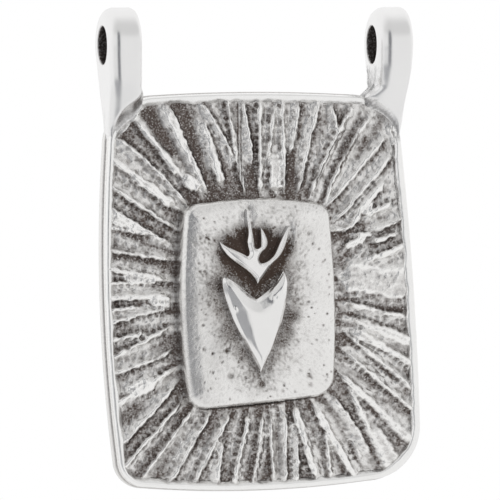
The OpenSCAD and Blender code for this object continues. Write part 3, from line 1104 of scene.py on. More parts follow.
    def _shaded(self, x: np.ndarray, z: np.ndarray, ragged: np.ndarray) -> np.ndarray:
        """Smooth dark strips between some of the rays.

        Args:
            x: Places along X in mm.
            z: Places along Z in mm.
            ragged: How far the edges of the strips are drawn in at each place, in mm.

        Returns:
            How dark each point is, from 0 to 1.
        """
        shadow = np.zeros(len(x))
        for strip in self.shadows:
            far, along = distance_to_path(x, z, strip.path())
            half = strip.crest[0] + (strip.crest[1] - strip.crest[0]) * along
            shadow = np.maximum(shadow, strip.shine * smoothstep(0.35, -0.05, far - half + ragged))
        return shadow

    def _grooved(self, x: np.ndarray, z: np.ndarray) -> np.ndarray:
        """Fine grooves above the tablet.

        Args:
            x: Places along X in mm.
            z: Places along Z in mm.

        Returns:
            How deep each point lies in a groove, from 0 to 1.
        """
        (start, end), runout = self.groove_ends, 0.4
        groove = np.zeros(len(x))
        for place in self.grooves:
            groove = np.maximum(groove, smoothstep(*self.groove_w, np.abs(x - place)))
        return groove * smoothstep(start + runout, start, z) * smoothstep(end - runout, end, z)

    def _rays(self, x: np.ndarray, z: np.ndarray, ragged: np.ndarray) -> tuple[np.ndarray, ...]:
        """Draws all the rays.

        Args:
            x: Places along X in mm.
            z: Places along Z in mm.
            ragged: How far the edges of the crests are worn back at each place, in mm.

        Returns:
            The rays' height, the white line along their edges, the flat top inside it, the light and shade
            painted on their flanks, and the rows of punch marks beside them.
        """
        warped_x = x + 0.07 * ripple(x, z, 0.6, 4) + 0.035 * ripple(x, z, 0.2, 16)
        warped_z = z + 0.07 * ripple(x, z, 0.6, 5) + 0.035 * ripple(x, z, 0.2, 17)
        swell = 0.7 * ripple(x, z, 0.8, 28)
        crest, line, inside, painted_flank_light, beads = np.zeros((5, len(x)))
        margin, widest_beaded = 1.6, 0.5
        for index, ray in enumerate(self.rays):
            chance = random.Random(index + self.seed)
            # Painted light and shade: one flank of each ray is painted lighter and the other a little darker,
            # standing in for how light falls on them.
            painted_flank_lights = chance.sample((-0.08, chance.uniform(0.15, 0.38)), 2)
            path = ray.path()
            near = (
                (x > path[:, 0].min() - margin) & (x < path[:, 0].max() + margin)
                & (z > path[:, 1].min() - margin) & (z < path[:, 1].max() + margin)
            )
            far, along = distance_to_path(warped_x[near], warped_z[near], path)
            taper = smoothstep(-0.06, 0.08, along) * smoothstep(1.02, 0.88, along)
            half = ray.crest[0] + (ray.crest[1] - ray.crest[0]) * along
            half = (half + np.minimum(half, 0.2) * swell[near]) * (0.4 + 0.6 * taper)
            past = far - half + ragged[near]
            (ax, az), (bx, bz) = ray.outer, ray.inner
            left = (bx - ax) * (warped_z[near] - az) - (bz - az) * (warped_x[near] - ax) > 0.0
            flank = smoothstep(0.75, 0.1, past) * np.where(left, painted_flank_lights[0], painted_flank_lights[1])
            painted_flank_light[near] = np.where(np.abs(flank) > np.abs(painted_flank_light[near]), flank, painted_flank_light[near])
            # The punch marks go on the flank with the painted shade.
            painted_shade_flank = left == (painted_flank_lights[0] < painted_flank_lights[1])
            place = np.mod(along * math.dist(ray.outer, ray.inner), self.bead) - self.bead / 2
            bead = smoothstep(0.19, 0.08, np.hypot(past - 0.24, place)) * painted_shade_flank
            bead = bead * (max(ray.crest) < widest_beaded)
            beads[near] = np.maximum(beads[near], bead)
            slope = (1.0 - np.clip(past / ray.flank, 0.0, 1.0)) ** 1.5
            crest[near] = np.maximum(crest[near], ray.shine * slope * (0.4 + 0.6 * taper))
            inside[near] = np.maximum(inside[near], smoothstep(0.04, 0.14, -past))
            white = smoothstep(0.11, 0.0, past) * smoothstep(0.22, 0.1, -past) * (0.3 + 0.7 * taper)
            line[near] = np.maximum(line[near], ray.shine * white)
        return crest, line, inside, painted_flank_light, beads

    def _punched(self, x: np.ndarray, z: np.ndarray) -> tuple[np.ndarray, np.ndarray]:
        """Small round dimples all over the floor of the field.

        Args:
            x: Places along X in mm.
            z: Places along Z in mm.

        Returns:
            How deep each point lies in a dimple, and how near it is to the walls between dimples,
            from 0 to 1.
        """
        spots = zip((x / self.dimple).tolist(), (z / self.dimple).tolist())
        nearest = np.array([noise.voronoi(Vector((a, 0.4, b)))[0][:2] for a, b in spots])
        bowl = smoothstep(0.65, 0.2, nearest[:, 0])
        return bowl, smoothstep(0.14, 0.0, nearest[:, 1] - nearest[:, 0])


@dataclass
class BorderWire(RimPiece):
    """Plain bright border round the field, uneven, and worn away under the right bail.

    Attributes:
        profile: Its section, as distance from the plate's edge and height above the floor in mm, and
            tarnish.
        path_inset: Distance in mm from the plate's edge of the line that its unevenness follows.
        sway: How far its inner side wanders, in mm.
        lift: How far its top is uneven, in mm.
        swell: How much broader it is at the right, in mm.
        swell_x: Places along X in mm between which that starts.
        swell_z: Places along Z in mm between which that starts.
        worn_x: Places along X in mm between which the worn corner starts.
        worn_z: Places along Z in mm between which the worn corner starts.
    """

    profile: tuple[tuple[float, float, float], ...] = (
        (0.14, -0.04, 0.15), (0.11, 0.06, 0.05), (0.11, 0.18, 0.0), (0.15, 0.28, 0.0),
        (0.23, 0.345, 0.0), (0.37, 0.35, 0.0), (0.42, 0.325, 0.0), (0.54, 0.21, 0.05),
        (0.66, 0.1, 0.12), (0.8, -0.04, 0.3), (0.43, -0.1, 0.9),
    )
    path_inset: float = 0.3
    sway: float = 0.12
    lift: float = 0.035
    swell: float = 0.2
    swell_x: Pair = (7.5, 9.5)
    swell_z: Pair = (-5.6, -7.6)
    worn_x: Pair = (7.3, 8.0)
    worn_z: Pair = (-6.6, -5.6)
    name: str = "border_wire_dressed"
    node: str = "border_wire"
    slot: str = "polished_silver"
    finish: SilverFinish = RIM_WORN
    arc_steps: int = 28
    edge_steps: int = 110

    def shape(self) -> bmesh.types.BMesh:
        """Builds the border in mm, by sweeping its section round the plate.

        Returns:
            The closed shell.
        """
        floor = back_of(self.node)
        tallest = max(height for _, height, _ in self.profile)
        x, z = self._rim(self.path_inset).T
        sway = self.sway * (ripple(x, z, 1.6, 9) + 0.6 * ripple(x, z, 0.4, 29))
        lift = self.lift * ripple(x, z, 0.8, 10) / tallest
        rings = []
        for inset, height, tarnish in self.profile:
            points = self._rim(inset)
            middle = points.mean(axis=0)
            inwards = (middle - points) / np.linalg.norm(middle - points, axis=1)[:, None]
            right = smoothstep(*self.swell_x, points[:, 0]) * smoothstep(*self.swell_z, points[:, 1])
            broad = self.swell * smoothstep(0.3, 0.37, inset) * smoothstep(0.8, 0.5, inset)
            shift = sway * smoothstep(0.2, 0.6, inset) + broad * right
            points = points + inwards * shift[:, None]
            worn = smoothstep(*self.worn_x, points[:, 0]) * smoothstep(*self.worn_z, points[:, 1])
            y = floor - (height + lift * max(height, 0.0)) * (1.0 - 0.8 * worn)
            rings.append(level_ring(points, y, np.maximum(tarnish, 0.8 * worn)))
        return loft(rings, Ends.WELDED)


@dataclass
class Tablet(Piece):
    """Raised block with a softened edge, pitted all over and sunk round the heart and the flame.

    Attributes:
        broad: How far its left side stands out over the field, in mm.
        broad_x: Places along X in mm between which that starts.
        arch: How far its top and bottom edges rise in the middle, in mm.
        arch_half: Half the length of that rise in mm.
        rough: Depth of the casting skin on its walls in mm.
        edge_r: Radius of its front edge in mm.
        left_r: Radius of that edge at the left in mm.
        left_x: Places along X in mm between which the left edge starts.
        roll: How far its face rolls off towards its edge, in mm.
        roll_w: Width of that roll in mm.
        left_roll: How much deeper and broader the roll is at the left, in mm.
        left_roll_x: Places along X in mm between which that starts.
        moat: Depth of the hollow round the heart and the flame in mm.
        moat_w: Width of that hollow round the heart and round the flame in mm.
        clean_tone: Grey level of its clean face.
        shade_tone: Grey level along the heart.
        stain_tone: Grey level of the blots and of the stain round the flame.
        stain_at: Middle of that stain, as X and Z in mm.
        stain_z: Places along Z in mm between which it sets in, below the flame's tips.
        large_pits: The pits that show most.
        blots: Dark blots beside the heart.
        small_pits: Number of the small pits.
        pit_r: Least and greatest radius of the small pits in mm.
        pit_depth: Least and greatest depth of the small pits in mm.
        seed: Picks the small pits.
        rows: Rows of faces from its edge to its middle.
    """

    broad: float = 0.42
    broad_x: Pair = (-3.6, -4.5)
    arch: float = 0.14
    arch_half: float = 4.4
    rough: float = 0.06
    edge_r: float = 0.28
    left_r: float = 0.48
    left_x: Pair = (-4.2, -4.8)
    roll: float = 0.24
    roll_w: float = 1.0
    left_roll: Pair = (0.06, 0.25)
    left_roll_x: Pair = (-3.0, -4.4)
    moat: float = 0.1
    moat_w: Pair = (0.5, 0.8)
    clean_tone: float = 0.95
    shade_tone: float = 0.52
    stain_tone: float = 0.36
    stain_at: Point = (-0.4, -14.6)
    stain_z: Pair = (-10.9, -12.6)
    large_pits: tuple[Spot, ...] = (
        Spot((-2.4, -20.2), 0.22, 0.12),
        Spot((-2.2, -21.9), 0.32, 0.025),
        Spot((0.0, -22.5), 0.28, 0.03),
        Spot((3.2, -21.9), 0.24, 0.03),
        Spot((3.3, -22.5), 0.2, 0.03),
        Spot((1.4, -22.9), 0.2, 0.02),
    )
    blots: tuple[Spot, ...] = (
        Spot((2.0, -18.0), 0.75, 0.9),
        Spot((1.75, -18.8), 0.7, 0.6),
        Spot((1.4, -19.6), 0.6, 0.5),
        Spot((-2.7, -17.4), 0.8, 0.3),
        Spot((-2.2, -19.1), 0.8, 0.4),
        Spot((-1.4, -20.6), 0.7, 0.4),
        Spot((-3.0, -16.0), 0.8, 0.5),
    )
    small_pits: int = 260
    pit_r: Pair = (0.05, 0.14)
    pit_depth: Pair = (0.01, 0.05)
    seed: int = 7
    rows: int = 66
    name: str = "tablet_dressed"
    node: str = "tablet"
    slot: str = "satin_silver"
    finish: SilverFinish = SATIN
    arc_steps: int = 24
    edge_steps: int = 136

    def shape(self) -> bmesh.types.BMesh:
        """Builds the tablet in mm, from its foot up its walls and over its edge to the middle of its face.

        Returns:
            The closed shell.
        """
        back, face = back_of(self.node), front_of(self.node)
        foot = self._ring(0.0, 0.0)
        middle = foot.mean(axis=0)
        rings = [level_ring(middle + (foot - middle) * 0.9, back, 1.0)]
        leftness = smoothstep(*self.left_x, foot[:, 0])
        shoulder = face + self.roll + self.edge_r + (self.left_r - self.edge_r) * leftness
        outwards = (foot - middle) / np.linalg.norm(foot - middle, axis=1)[:, None]
        girth = foot[:, 1] + 1.7 * foot[:, 0]
        for share in np.linspace(0.0, 0.9, 12):
            y = back + (shoulder - back) * share
            skin = ripple(girth, y, 0.17, 31)
            bump = self.rough * skin * math.sin(math.pi * share)
            tarnish = np.clip(smoothstep(0.2, 0.0, share) - 0.3 * skin, 0.0, 0.9)
            rings.append(level_ring(self._ring(0.0, share) + outwards * bump[:, None], y, tarnish))
        last_turn, full_turn, face_inset = 60.0, 68.0, 0.62
        for turn in np.radians(np.linspace(0.0, last_turn, 8)):
            points = self._rounded(1.0 - math.cos(turn), leftness)
            sink, tarnish = self._wear(points)
            bend = math.sin(turn) / math.sin(math.radians(full_turn))
            y = shoulder + (face + sink - shoulder) * bend
            rings.append(level_ring(points, y, tarnish * bend))
        edge = self._rounded(face_inset, leftness)
        shares = np.linspace(1.0, 0.015, self.rows)
        spots = np.concatenate([middle + (edge - middle) * share for share in shares])
        sink, tarnish = self._wear(spots)
        rings.extend(np.split(level_ring(spots, face + sink, tarnish), self.rows))
        return loft(rings, Ends.POINTED)

    def _ring(self, inset: float, lift: float = 1.0) -> np.ndarray:
        """Outline of the tablet, with its left side standing out and its middle arched up.

        Args:
            inset: Distance inwards from the edge in mm.
            lift: Share of the arch that it has.

        Returns:
            Points in X and Z, one row each.
        """
        points = TABLET.ring(inset, self.arc_steps, self.edge_steps)
        points[:, 1] += lift * self.arch * np.clip(1.0 - (points[:, 0] / self.arch_half) ** 2, 0.0, 1.0)
        points[:, 0] -= self.broad * smoothstep(*self.broad_x, points[:, 0])
        return points

    def _rounded(self, share: float, leftness: np.ndarray) -> np.ndarray:
        """Outline part of the way round the front edge, which is broader at the left.

        Args:
            share: Inset as a share of the edge's radius.
            leftness: Share of each point in the left side.

        Returns:
            Points in X and Z, one row each.
        """
        narrow = self._ring(share * self.edge_r)
        wide = self._ring(share * self.left_r)
        return narrow + (wide - narrow) * leftness[:, None]

    def _wear(self, spots: np.ndarray) -> tuple[np.ndarray, np.ndarray]:
        """Rolls the face's edges off, and sinks the hollow and the pits into it.

        Args:
            spots: Points of the face in X and Z, one row each.

        Returns:
            How far each point is sunk in mm, and its tarnish.
        """
        x, z = spots.T
        to_heart = self._gap(x, z, heart_outline(10))
        to_flame = self._gap(x, z, flame_outline(6))
        to_edge = distance_to_path(x, z, closed(self._ring(0.0)[::4]))[0]
        grain = ripple(x, z, 0.16, 13) + 0.6 * ripple(x, z, 0.32, 21)
        by_heart, by_flame = self.moat_w
        hollow = np.maximum(smoothstep(by_flame, 0.1, to_flame), 0.5 * smoothstep(by_heart, 0.05, to_heart))
        deeper, broader = smoothstep(*self.left_roll_x, x) * np.array(self.left_roll)[:, None]
        rolled = np.clip(1.0 - to_edge / (self.roll_w + broader), 0.0, 1.0) ** 1.6
        sink = self.moat * hollow + (self.roll + deeper) * rolled
        sink += 0.02 * ripple(x, z, 1.5, 12) + 0.012 * grain
        level, burnt = self._toned(spots, to_heart, to_flame, grain)
        for pit in (*self.large_pits, *self._scatter()):
            bowl = smoothstep(1.0, 0.2, pit.far(x, z) / pit.radius)
            sink += pit.depth * bowl
            level -= min(pit.depth / 0.1, 0.5) * bowl
        return sink, tarnish_for(level) * (1.0 + 0.35 * burnt**3)

    def _toned(
        self, spots: np.ndarray, to_heart: np.ndarray, to_flame: np.ndarray, grain: np.ndarray
    ) -> tuple[np.ndarray, np.ndarray]:
        """Shades the face round the heart and the flame.

        Args:
            spots: Points of the face in X and Z, one row each.
            to_heart: Distance of each from the heart in mm.
            to_flame: Distance of each from the flame in mm.
            grain: Pattern of the face's grain.

        Returns:
            The grey level of each point, and its share in the stain round the flame.
        """
        x, z = spots.T
        uneven = ripple(x, z, 0.8, 11)
        outwards = np.hypot(x - self.stain_at[0], z - self.stain_at[1]) + 0.4 * uneven + 0.25 * grain
        burnt = smoothstep(1.35, 0.3, to_flame + 0.3 * uneven + 0.22 * grain)
        burnt = burnt * smoothstep(*self.stain_z, z) * smoothstep(3.4, 2.2, outwards)
        shade = smoothstep(1.3, 0.0, to_heart + 0.3 * uneven) * (0.8 + 0.6 * grain)
        blot = np.zeros(len(spots))
        for spot in self.blots:
            near = spot.far(x, z) / spot.radius + 0.3 * uneven + 0.35 * grain
            blot = np.maximum(blot, spot.depth * smoothstep(1.2, 0.0, near))
        haze = smoothstep(2.4, 0.2, np.minimum(to_heart, to_flame) + 0.5 * uneven)
        haze *= 1.0 - 0.6 * smoothstep(-13.4, -11.6, z)
        level = self.clean_tone - haze * (0.18 + 0.34 * grain) + 0.035 * ripple(x, z, 1.1, 14)
        level -= 0.1 * np.abs(grain) + 0.05 * smoothstep(-2.0, -3.4, x) * smoothstep(-14.5, -17.0, z)
        level += (self.shade_tone - level) * np.clip(shade, 0.0, 1.0)
        level += (self.stain_tone + 0.1 * grain - level) * blot
        level += (self.stain_tone + 0.05 * grain - level) * burnt
        return level, burnt

    def _gap(self, x: np.ndarray, z: np.ndarray, path: np.ndarray) -> np.ndarray:
        """Distance in mm from points in X and Z to a closed outline, and 0 inside it."""
        return np.where(inside_path(x, z, path), 0.0, distance_to_path(x, z, closed(path))[0])

    def _scatter(self) -> list[Spot]:
        """Draws the small pits over the face.

        Returns:
            The pits.
        """
        chance = random.Random(self.seed)
        low_x, high_x, low_z, high_z = -4.6, 4.9, -23.6, -10.7
        return [
            Spot(
                (chance.uniform(low_x, high_x), chance.uniform(low_z, high_z)),
                chance.uniform(*self.pit_r),
                chance.uniform(*self.pit_depth),
            )
            for _ in range(self.small_pits)
        ]


@dataclass
class Heart(Piece):
    """Heart with steep walls, a soft bevel round its face and a gouge beside its notch.

    Attributes:
        wall: Share of its rise that its walls take up.
        batter: How far its walls lean in from the foot, in mm.
        walls: Shares of the way up its walls, with the tarnish there.
        root: How far it is let into the tablet, in mm.
        middle: Place that its face is drawn together to, as X and Z in mm.
        bevel: Distance from its edge in mm, and share of the rise above the walls, up its bevel.
        tip_bevel: Breadth of the bevel towards the tip, as a share.
        lobe_bevel: How much that grows towards the lobes.
        bevel_z: Places along Z in mm between which it grows.
        gouge: Slope of the gouge.
        gouge_end: Place along X in mm where the gouge runs out.
        marks: A small boss on its bevel and a hollow in its left lobe.
        rows: Rows of faces from its edge to its middle.
        curve_steps: Points on each curve of its outline.
    """

    wall: float = 0.48
    batter: float = 0.03
    walls: tuple[Pair, ...] = ((-0.3, 0.9), (-0.04, 0.6), (0.06, 0.05), (0.5, 0.0), (0.9, 0.0))
    root: float = 0.35
    middle: Point = (-0.475, -17.95)
    bevel: tuple[Pair, ...] = (
        (0.0, 0.0), (0.1, 0.22), (0.2, 0.43), (0.25, 0.5), (0.32, 0.56), (0.6, 0.78), (0.7, 0.86),
        (0.8, 0.92), (0.9, 0.96), (1.05, 1.0),
    )
    tip_bevel: float = 0.42
    lobe_bevel: float = 0.68
    bevel_z: Pair = (-20.4, -17.4)
    gouge: float = 0.22
    gouge_end: float = 0.85
    marks: tuple[Spot, ...] = (
        Spot((-2.0, -17.5), 0.2, -0.09),
        Spot((-2.35, -15.75), 0.3, 0.08),
    )
    rows: int = 60
    name: str = "heart_dressed"
    node: str = "heart"
    slot: str = "polished_silver"
    finish: SilverFinish = BURNISHED
    curve_steps: int = 28

    def shape(self) -> bmesh.types.BMesh:
        """Builds the heart in mm, from its foot up its walls and over its bevel to the top.

        Returns:
            The closed shell.
        """
        foot, top = back_of(self.node), front_of(self.node)
        outline = heart_outline(self.curve_steps)
        middle = np.array(self.middle)
        rise = top - foot
        rings = [level_ring(middle + (outline - middle) * 0.5, foot + self.root, 1.0)]
        for share, tarnish in self.walls:
            inset = self.batter * max(share, 0.0)
            rings.append(level_ring(grown(outline, inset), foot + rise * self.wall * share, tarnish))
        edge = grown(outline, self.batter)
        for share in np.linspace(1.0, 0.02, self.rows) ** 0.8:
            points = middle + (edge - middle) * share
            far = distance_to_path(points[:, 0], points[:, 1], closed(edge))[0]
            sink, tarnish = self._face(points, far, rise)
            rings.append(level_ring(points, foot + rise + sink, tarnish))
        return loft(rings, Ends.POINTED)

    def _face(self, points: np.ndarray, far: np.ndarray, rise: float) -> tuple[np.ndarray, np.ndarray]:
        """Slopes the face down to its edge, and cuts the gouge and the marks into it.

        Args:
            points: Points of the face in X and Z, one row each.
            far: Distance of each from the edge in mm.
            rise: Way from the foot to the top along Y in mm.

        Returns:
            How far each point is sunk along Y in mm, and its tarnish.
        """
        x, z = points.T
        depths, heights = np.array(self.bevel).T
        breadth = self.tip_bevel + self.lobe_bevel * smoothstep(*self.bevel_z, z)
        breadth *= 1.0 - 0.55 * smoothstep(-17.2, -16.6, z) * smoothstep(0.1, 0.6, x)
        lift = np.interp((far + 0.03 * ripple(x, z, 0.7, 22)) / breadth, depths, heights)
        sink = (self.wall - 1.0) * rise * (1.0 - lift) + 0.012 * ripple(x, z, 0.8, 15)
        cut = smoothstep(-17.2, -16.8, z) * smoothstep(-0.3, 0.05, x)
        ragged = 0.06 * ripple(x, z, 0.3, 23)
        gouged = self.gouge * np.clip(self.gouge_end - x + ragged, 0.0, None) + 0.5 * ragged
        sink = np.maximum(sink, cut * gouged)
        tarnish = 0.12 * cut * smoothstep(0.75, 0.3, x)
        for mark in self.marks:
            bowl = smoothstep(mark.radius, 0.0, mark.far(x, z))
            sink += mark.depth * bowl
            tarnish = tarnish + 3.0 * max(mark.depth, 0.0) * bowl
        return sink, tarnish


@dataclass
class Flame(Piece):
    """Flame of four tongues, each with a rounded crest.

    Attributes:
        root: How far it is let into the tablet, in mm.
        voxel: Size of its finest detail in mm.
        crown: Distance in mm from its edge over which it rounds up to its crest.
        crest: Share of its height that the rounding takes up.
        batter: How far its walls lean out to the foot, in mm.
        droop: How steeply its left tongue drops towards its tip.
        droop_x: Place along X in mm where that drop starts.
        droop_w: Way in mm over which it gets steep.
        curve_steps: Points on each curve of its outline.
    """

    root: float = 0.3
    voxel: float = 0.035
    crown: float = 0.2
    crest: float = 0.24
    batter: float = 0.1
    droop: float = 0.22
    droop_x: float = -1.1
    droop_w: float = 0.4
    name: str = "flame_dressed"
    node: str = "flame"
    slot: str = "polished_silver"
    finish: SilverFinish = BURNISHED
    curve_steps: int = 9

    def shape(self) -> bmesh.types.BMesh:
        """Builds the flame in mm: a thick outline, remeshed finely and rounded up to its crests.

        Returns:
            The closed shell.
        """
        foot, top = back_of(self.node), front_of(self.node)
        outline = flame_outline(self.curve_steps)
        block = bmesh.new()
        corners = bmesh.ops.create_circle(block, cap_ends=True, segments=len(outline), radius=1.0)["verts"]
        for corner, (x, z) in zip(corners, outline):
            corner.co = (x, top, z)
        walls = bmesh.ops.extrude_face_region(block, geom=block.faces[:])["geom"]
        lowered = [item for item in walls if isinstance(item, bmesh.types.BMVert)]
        lowered.sort(key=lambda vert: min(
            range(len(outline)), key=lambda i: math.dist(outline[i], (vert.co.x, vert.co.z))
        ))
        for vert, (x, z) in zip(lowered, grown(outline, self.batter)):
            vert.co = (x, foot + self.root, z)
        bmesh.ops.recalc_face_normals(block, faces=block.faces[:])
        shell = self._remeshed(block)
        bmesh.ops.smooth_vert(shell, verts=shell.verts[:], factor=0.5, use_axis_x=True, use_axis_z=True)
        self._round_up(shell, outline, foot, top)
        return shell

    def _remeshed(self, block: bmesh.types.BMesh) -> bmesh.types.BMesh:
        """Remeshes a block into small even faces.

        Args:
            block: The block, which is freed.

        Returns:
            The fine shell.
        """
        holder = as_object(block, "flame_block")
        mesh = holder.data
        fine = holder.modifiers.new("fine", "REMESH")
        fine.mode = "VOXEL"
        fine.voxel_size = self.voxel
        solved = holder.evaluated_get(bpy.context.evaluated_depsgraph_get())
        shell = bmesh.new()
        shell.from_mesh(solved.to_mesh())
        solved.to_mesh_clear()
        bpy.data.objects.remove(holder)
        bpy.data.meshes.remove(mesh)
        return shell

    def _round_up(self, shell: bmesh.types.BMesh, outline: np.ndarray, foot: float, top: float) -> None:
        """Rounds the flat top up to crests, and darkens the foot.

        Args:
            shell: The fine shell.
            outline: Outline of the flame in mm.
            foot: Place of the tablet's face along Y.
            top: Place of the crests along Y.
        """
        tarnish = shell.verts.layers.float.new(TARNISH)
        shell.verts.ensure_lookup_table()
        spots = np.array([vert.co for vert in shell.verts])
        edge = distance_to_path(spots[:, 0], spots[:, 2], closed(outline))[0]
        rounded = 1.0 - self.crest + self.crest * np.clip(edge / self.crown, 0.0, 1.0)
        bottom = foot + self.root
        height = np.clip((spots[:, 1] - bottom) / (top - bottom), 0.0, 1.0)
        past = np.clip(self.droop_x - spots[:, 0], 0.0, None)
        y = bottom + (top - bottom) * height * rounded
        y += self.droop * height * past * past / (past + self.droop_w)
        rise = (y - foot) / (top - foot)
        shade = smoothstep(0.1, -0.25, rise)
        for vert, place, dark in zip(shell.verts, y.tolist(), shade.tolist()):
            vert.co.y = place
            vert[tarnish] = dark
        shell.normal_update()
        bmesh.ops.smooth_vert(shell, verts=shell.verts[:], factor=0.5, use_axis_y=True)


class Side(Enum):
    """Which top corner a bail stands on."""

    LEFT = -1
    RIGHT = 1


@dataclass
class Bail(Piece):
    """Bored lug: a ring on a neck that drops to the plate's corner and flares onto its top edge.

    Attributes:
        side: Corner that it stands on.
        left_r: Radius of its left edges in mm.
        lean: How far its outer face comes in from the ring to the foot, in mm.
        flare: How far its inner face spreads onto the plate, in mm.
        rough: Depth in mm of the casting skin that was left under its bore.
        right_r: Radius of its right edges in mm.
        bore_r: Radius of its bore in mm.
        ring_r: Radius of its ring in mm.
        lap: How far its foot laps over the plate's corner at most, in mm.
        chord_x: Place along X in mm where its foot starts to lap over the corner.
        chord_z: Place along Z there in mm.
        chord_slope: How steeply its foot drops from there towards its outer face.
        widen: How much thicker its inner half is, in mm.
        spread: How much thicker its outer half is, in mm.
        tail: How far down its outer face runs along the plate's edge, as Z in mm.
        foot_y: Half its depth in mm at its foot, at the front and at the back.
        facet: Height in mm of the slope at its foot.
        stain: How dark that slope is, painted as shade and patina where the foot meets the plate.
        grainy: How far that dark is broken up, in mm.
        hem: Height in mm of the bright line along its lower edge.
        tuck: How far the end of its outer face turns in under the plate's edge, in mm.
        fronts: Half its depth in mm at the front against Z, from the ring down.
        backs: Half its depth in mm at the back against Z, from the ring down.
        neck_passes: How often those are smoothed.
        ring_steps: Points round its ring.
        neck_steps: Points down each side of its neck.
        foot_steps: Steps across its foot.
    """

    side: Side
    left_r: float
    lean: float
    flare: float
    rough: float = 0.0
    right_r: float = 0.4
    bore_r: float = 1.25
    ring_r: float = 2.5
    lap: float = 1.1
    chord_x: float = 7.3
    chord_z: float = -3.7
    chord_slope: float = 1.15
    widen: float = 0.0
    spread: float = 0.0
    tail: float = -5.7
    foot_y: Pair = (0.95, 0.92)
    facet: float = 1.0
    stain: float = 0.45
    grainy: float = 0.1
    hem: float = 0.12
    tuck: float = 0.0
    fronts: tuple[Pair, ...] = (
        (-0.3, 2.48), (-2.5, 2.4), (-3.3, 2.15), (-4.2, 1.75), (-5.4, 1.3), (-6.7, 1.0),
    )
    backs: tuple[Pair, ...] = ((-0.9, 2.33), (-2.0, 2.0), (-3.3, 1.72), (-5.0, 1.2), (-6.7, 0.95))
    neck_passes: int = 12
    slot: str = "polished_silver"
    finish: SilverFinish = POLISHED
    ring_steps: int = 72
    neck_steps: int = 60
    foot_steps: int = 10

    def __post_init__(self) -> None:
        """Names the bail for its side."""
        self.node = f"{self.side.name.lower()}_bail"
        self.name = f"{self.node}_dressed"

    def shape(self) -> bmesh.types.BMesh:
        """Builds the bail in mm, from its bore over its left face, round its edge and back to its bore.

        Returns:
            The closed shell.
        """
        low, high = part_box(self.node)
        left, right = low.x / MM, high.x / MM
        outline = self._outline()
        angle = np.unwrap(np.arctan2(outline[:, 1], outline[:, 0]))
        below = len(outline) - self.ring_steps
        ends = angle[self.ring_steps - 1], angle[0] - 2 * math.pi
        angle[self.ring_steps:] = np.linspace(*ends, below + 2)[1:-1]
        bore = self.bore_r * np.column_stack([np.cos(angle), np.sin(angle)])
        halfway = (left + right) / 2
        flanks = [self._flank(outline, bore, left, halfway, self.left_r)]
        flanks.append(self._flank(outline, bore, right, halfway, self.right_r)[-2::-1])
        rings = [self._seated(ring, halfway, (right - left) / 2) for flank in flanks for ring in flank]
        return loft(rings, Ends.WELDED)

    def _outline(self) -> np.ndarray:
        """Draws the bail from its front round the top and down its back to the foot.

        Returns:
            Points in Y and Z, one row each.
        """
        front_z, front_y = np.array(self.fronts).T
        back_z, back_y = np.array(self.backs).T
        start = math.pi - math.asin(front_z[0] / self.ring_r)
        end = math.asin(back_z[0] / self.ring_r)
        turn = np.linspace(start, end, self.ring_steps)
        top = self.ring_r * np.column_stack([np.cos(turn), np.sin(turn)])
        back = self._neck(back_z, back_y)
        front = self._neck(front_z, front_y) * (-1.0, 1.0)
        share = np.linspace(0.0, 1.0, self.foot_steps + 1)[1:-1, None]
        foot = back[-1] + (front[-1] - back[-1]) * share
        return np.concatenate([top, back, foot, front[::-1]])

    def _neck(self, heights: np.ndarray, depths: np.ndarray) -> np.ndarray:
        """One side of the neck, smoothed, from below the ring to the foot.

        Args:
            heights: Places along Z in mm.
            depths: Half-depths in mm at those places.

        Returns:
            Rows of depth and Z.
        """
        z = np.linspace(heights[0], heights[-1], self.neck_steps + 1)
        depth = np.interp(z, heights[::-1], depths[::-1])
        for _ in range(self.neck_passes):
            depth[1:-1] = (depth[:-2] + 2 * depth[1:-1] + depth[2:]) / 4
        return np.column_stack([depth, z])[1:]

    def _flank(
        self, outline: np.ndarray, bore: np.ndarray, face: float, halfway: float, edge_r: float
    ) -> list[np.ndarray]:
        """Rings over one half of the bail, from the middle of its bore to the middle of its outer wall.

        Args:
            outline: Outline in Y and Z.
            bore: Bore in Y and Z.
            face: Place of the half's face along X in mm.
            halfway: Middle of the bail along X in mm.
            edge_r: Radius of the half's edge in mm.

        Returns:
            The rings.
        """
        inwards = math.copysign(1.0, halfway - face)
        step = np.roll(outline, -1, axis=0) - np.roll(outline, 1, axis=0)
        step /= np.linalg.norm(step, axis=1)[:, None]
        to_bore = np.column_stack([step[:, 1], -step[:, 0]])
        y, z = outline.T
        lowest = np.isclose(z, z.min())
        across = np.where(lowest, y / np.abs(y[lowest]).max(), np.sign(y))
        level = np.column_stack([-across, np.zeros(len(y))])
        to_bore += (level - to_bore) * smoothstep(-1.5, -4.0, z)[:, None]
        room = 0.5 * np.linalg.norm(outline - bore, axis=1) + 0.35
        radius = np.minimum(edge_r, room)[:, None]
        shoulder = outline + to_bore * radius
        lip = 0.1
        rings = [self._ring(bore, x, 1.0) for x in np.linspace(halfway, face + inwards * lip, 4)]
        rings.append(self._ring(bore * (1.0 + 0.3 * lip / self.bore_r), face + inwards * 0.3 * lip, 0.5))
        rim = bore * (1.0 + lip / self.bore_r)
        for share in np.linspace(0.0, 0.92, 12):
            rings.append(self._ring(rim + (shoulder - rim) * share, face, 0.0))
        for turn in np.radians(np.linspace(0.0, 90.0, 14)):
            points = outline + to_bore * radius * (1.0 - math.sin(turn))
            rings.append(self._ring(points, face + inwards * edge_r * (1.0 - math.cos(turn)), 0.0))
        for x in np.linspace(face + inwards * edge_r, halfway, 7)[1:]:
            rings.append(self._ring(outline, x, 0.0))
        return rings[1:]

    def _ring(self, points: np.ndarray, x: float, tarnish: float) -> np.ndarray:
        """Ring for a loft, from an outline in Y and Z, at one place along X and with one tarnish."""
        count = len(points)
        return np.column_stack([np.full(count, x), points, np.full(count, tarnish)])

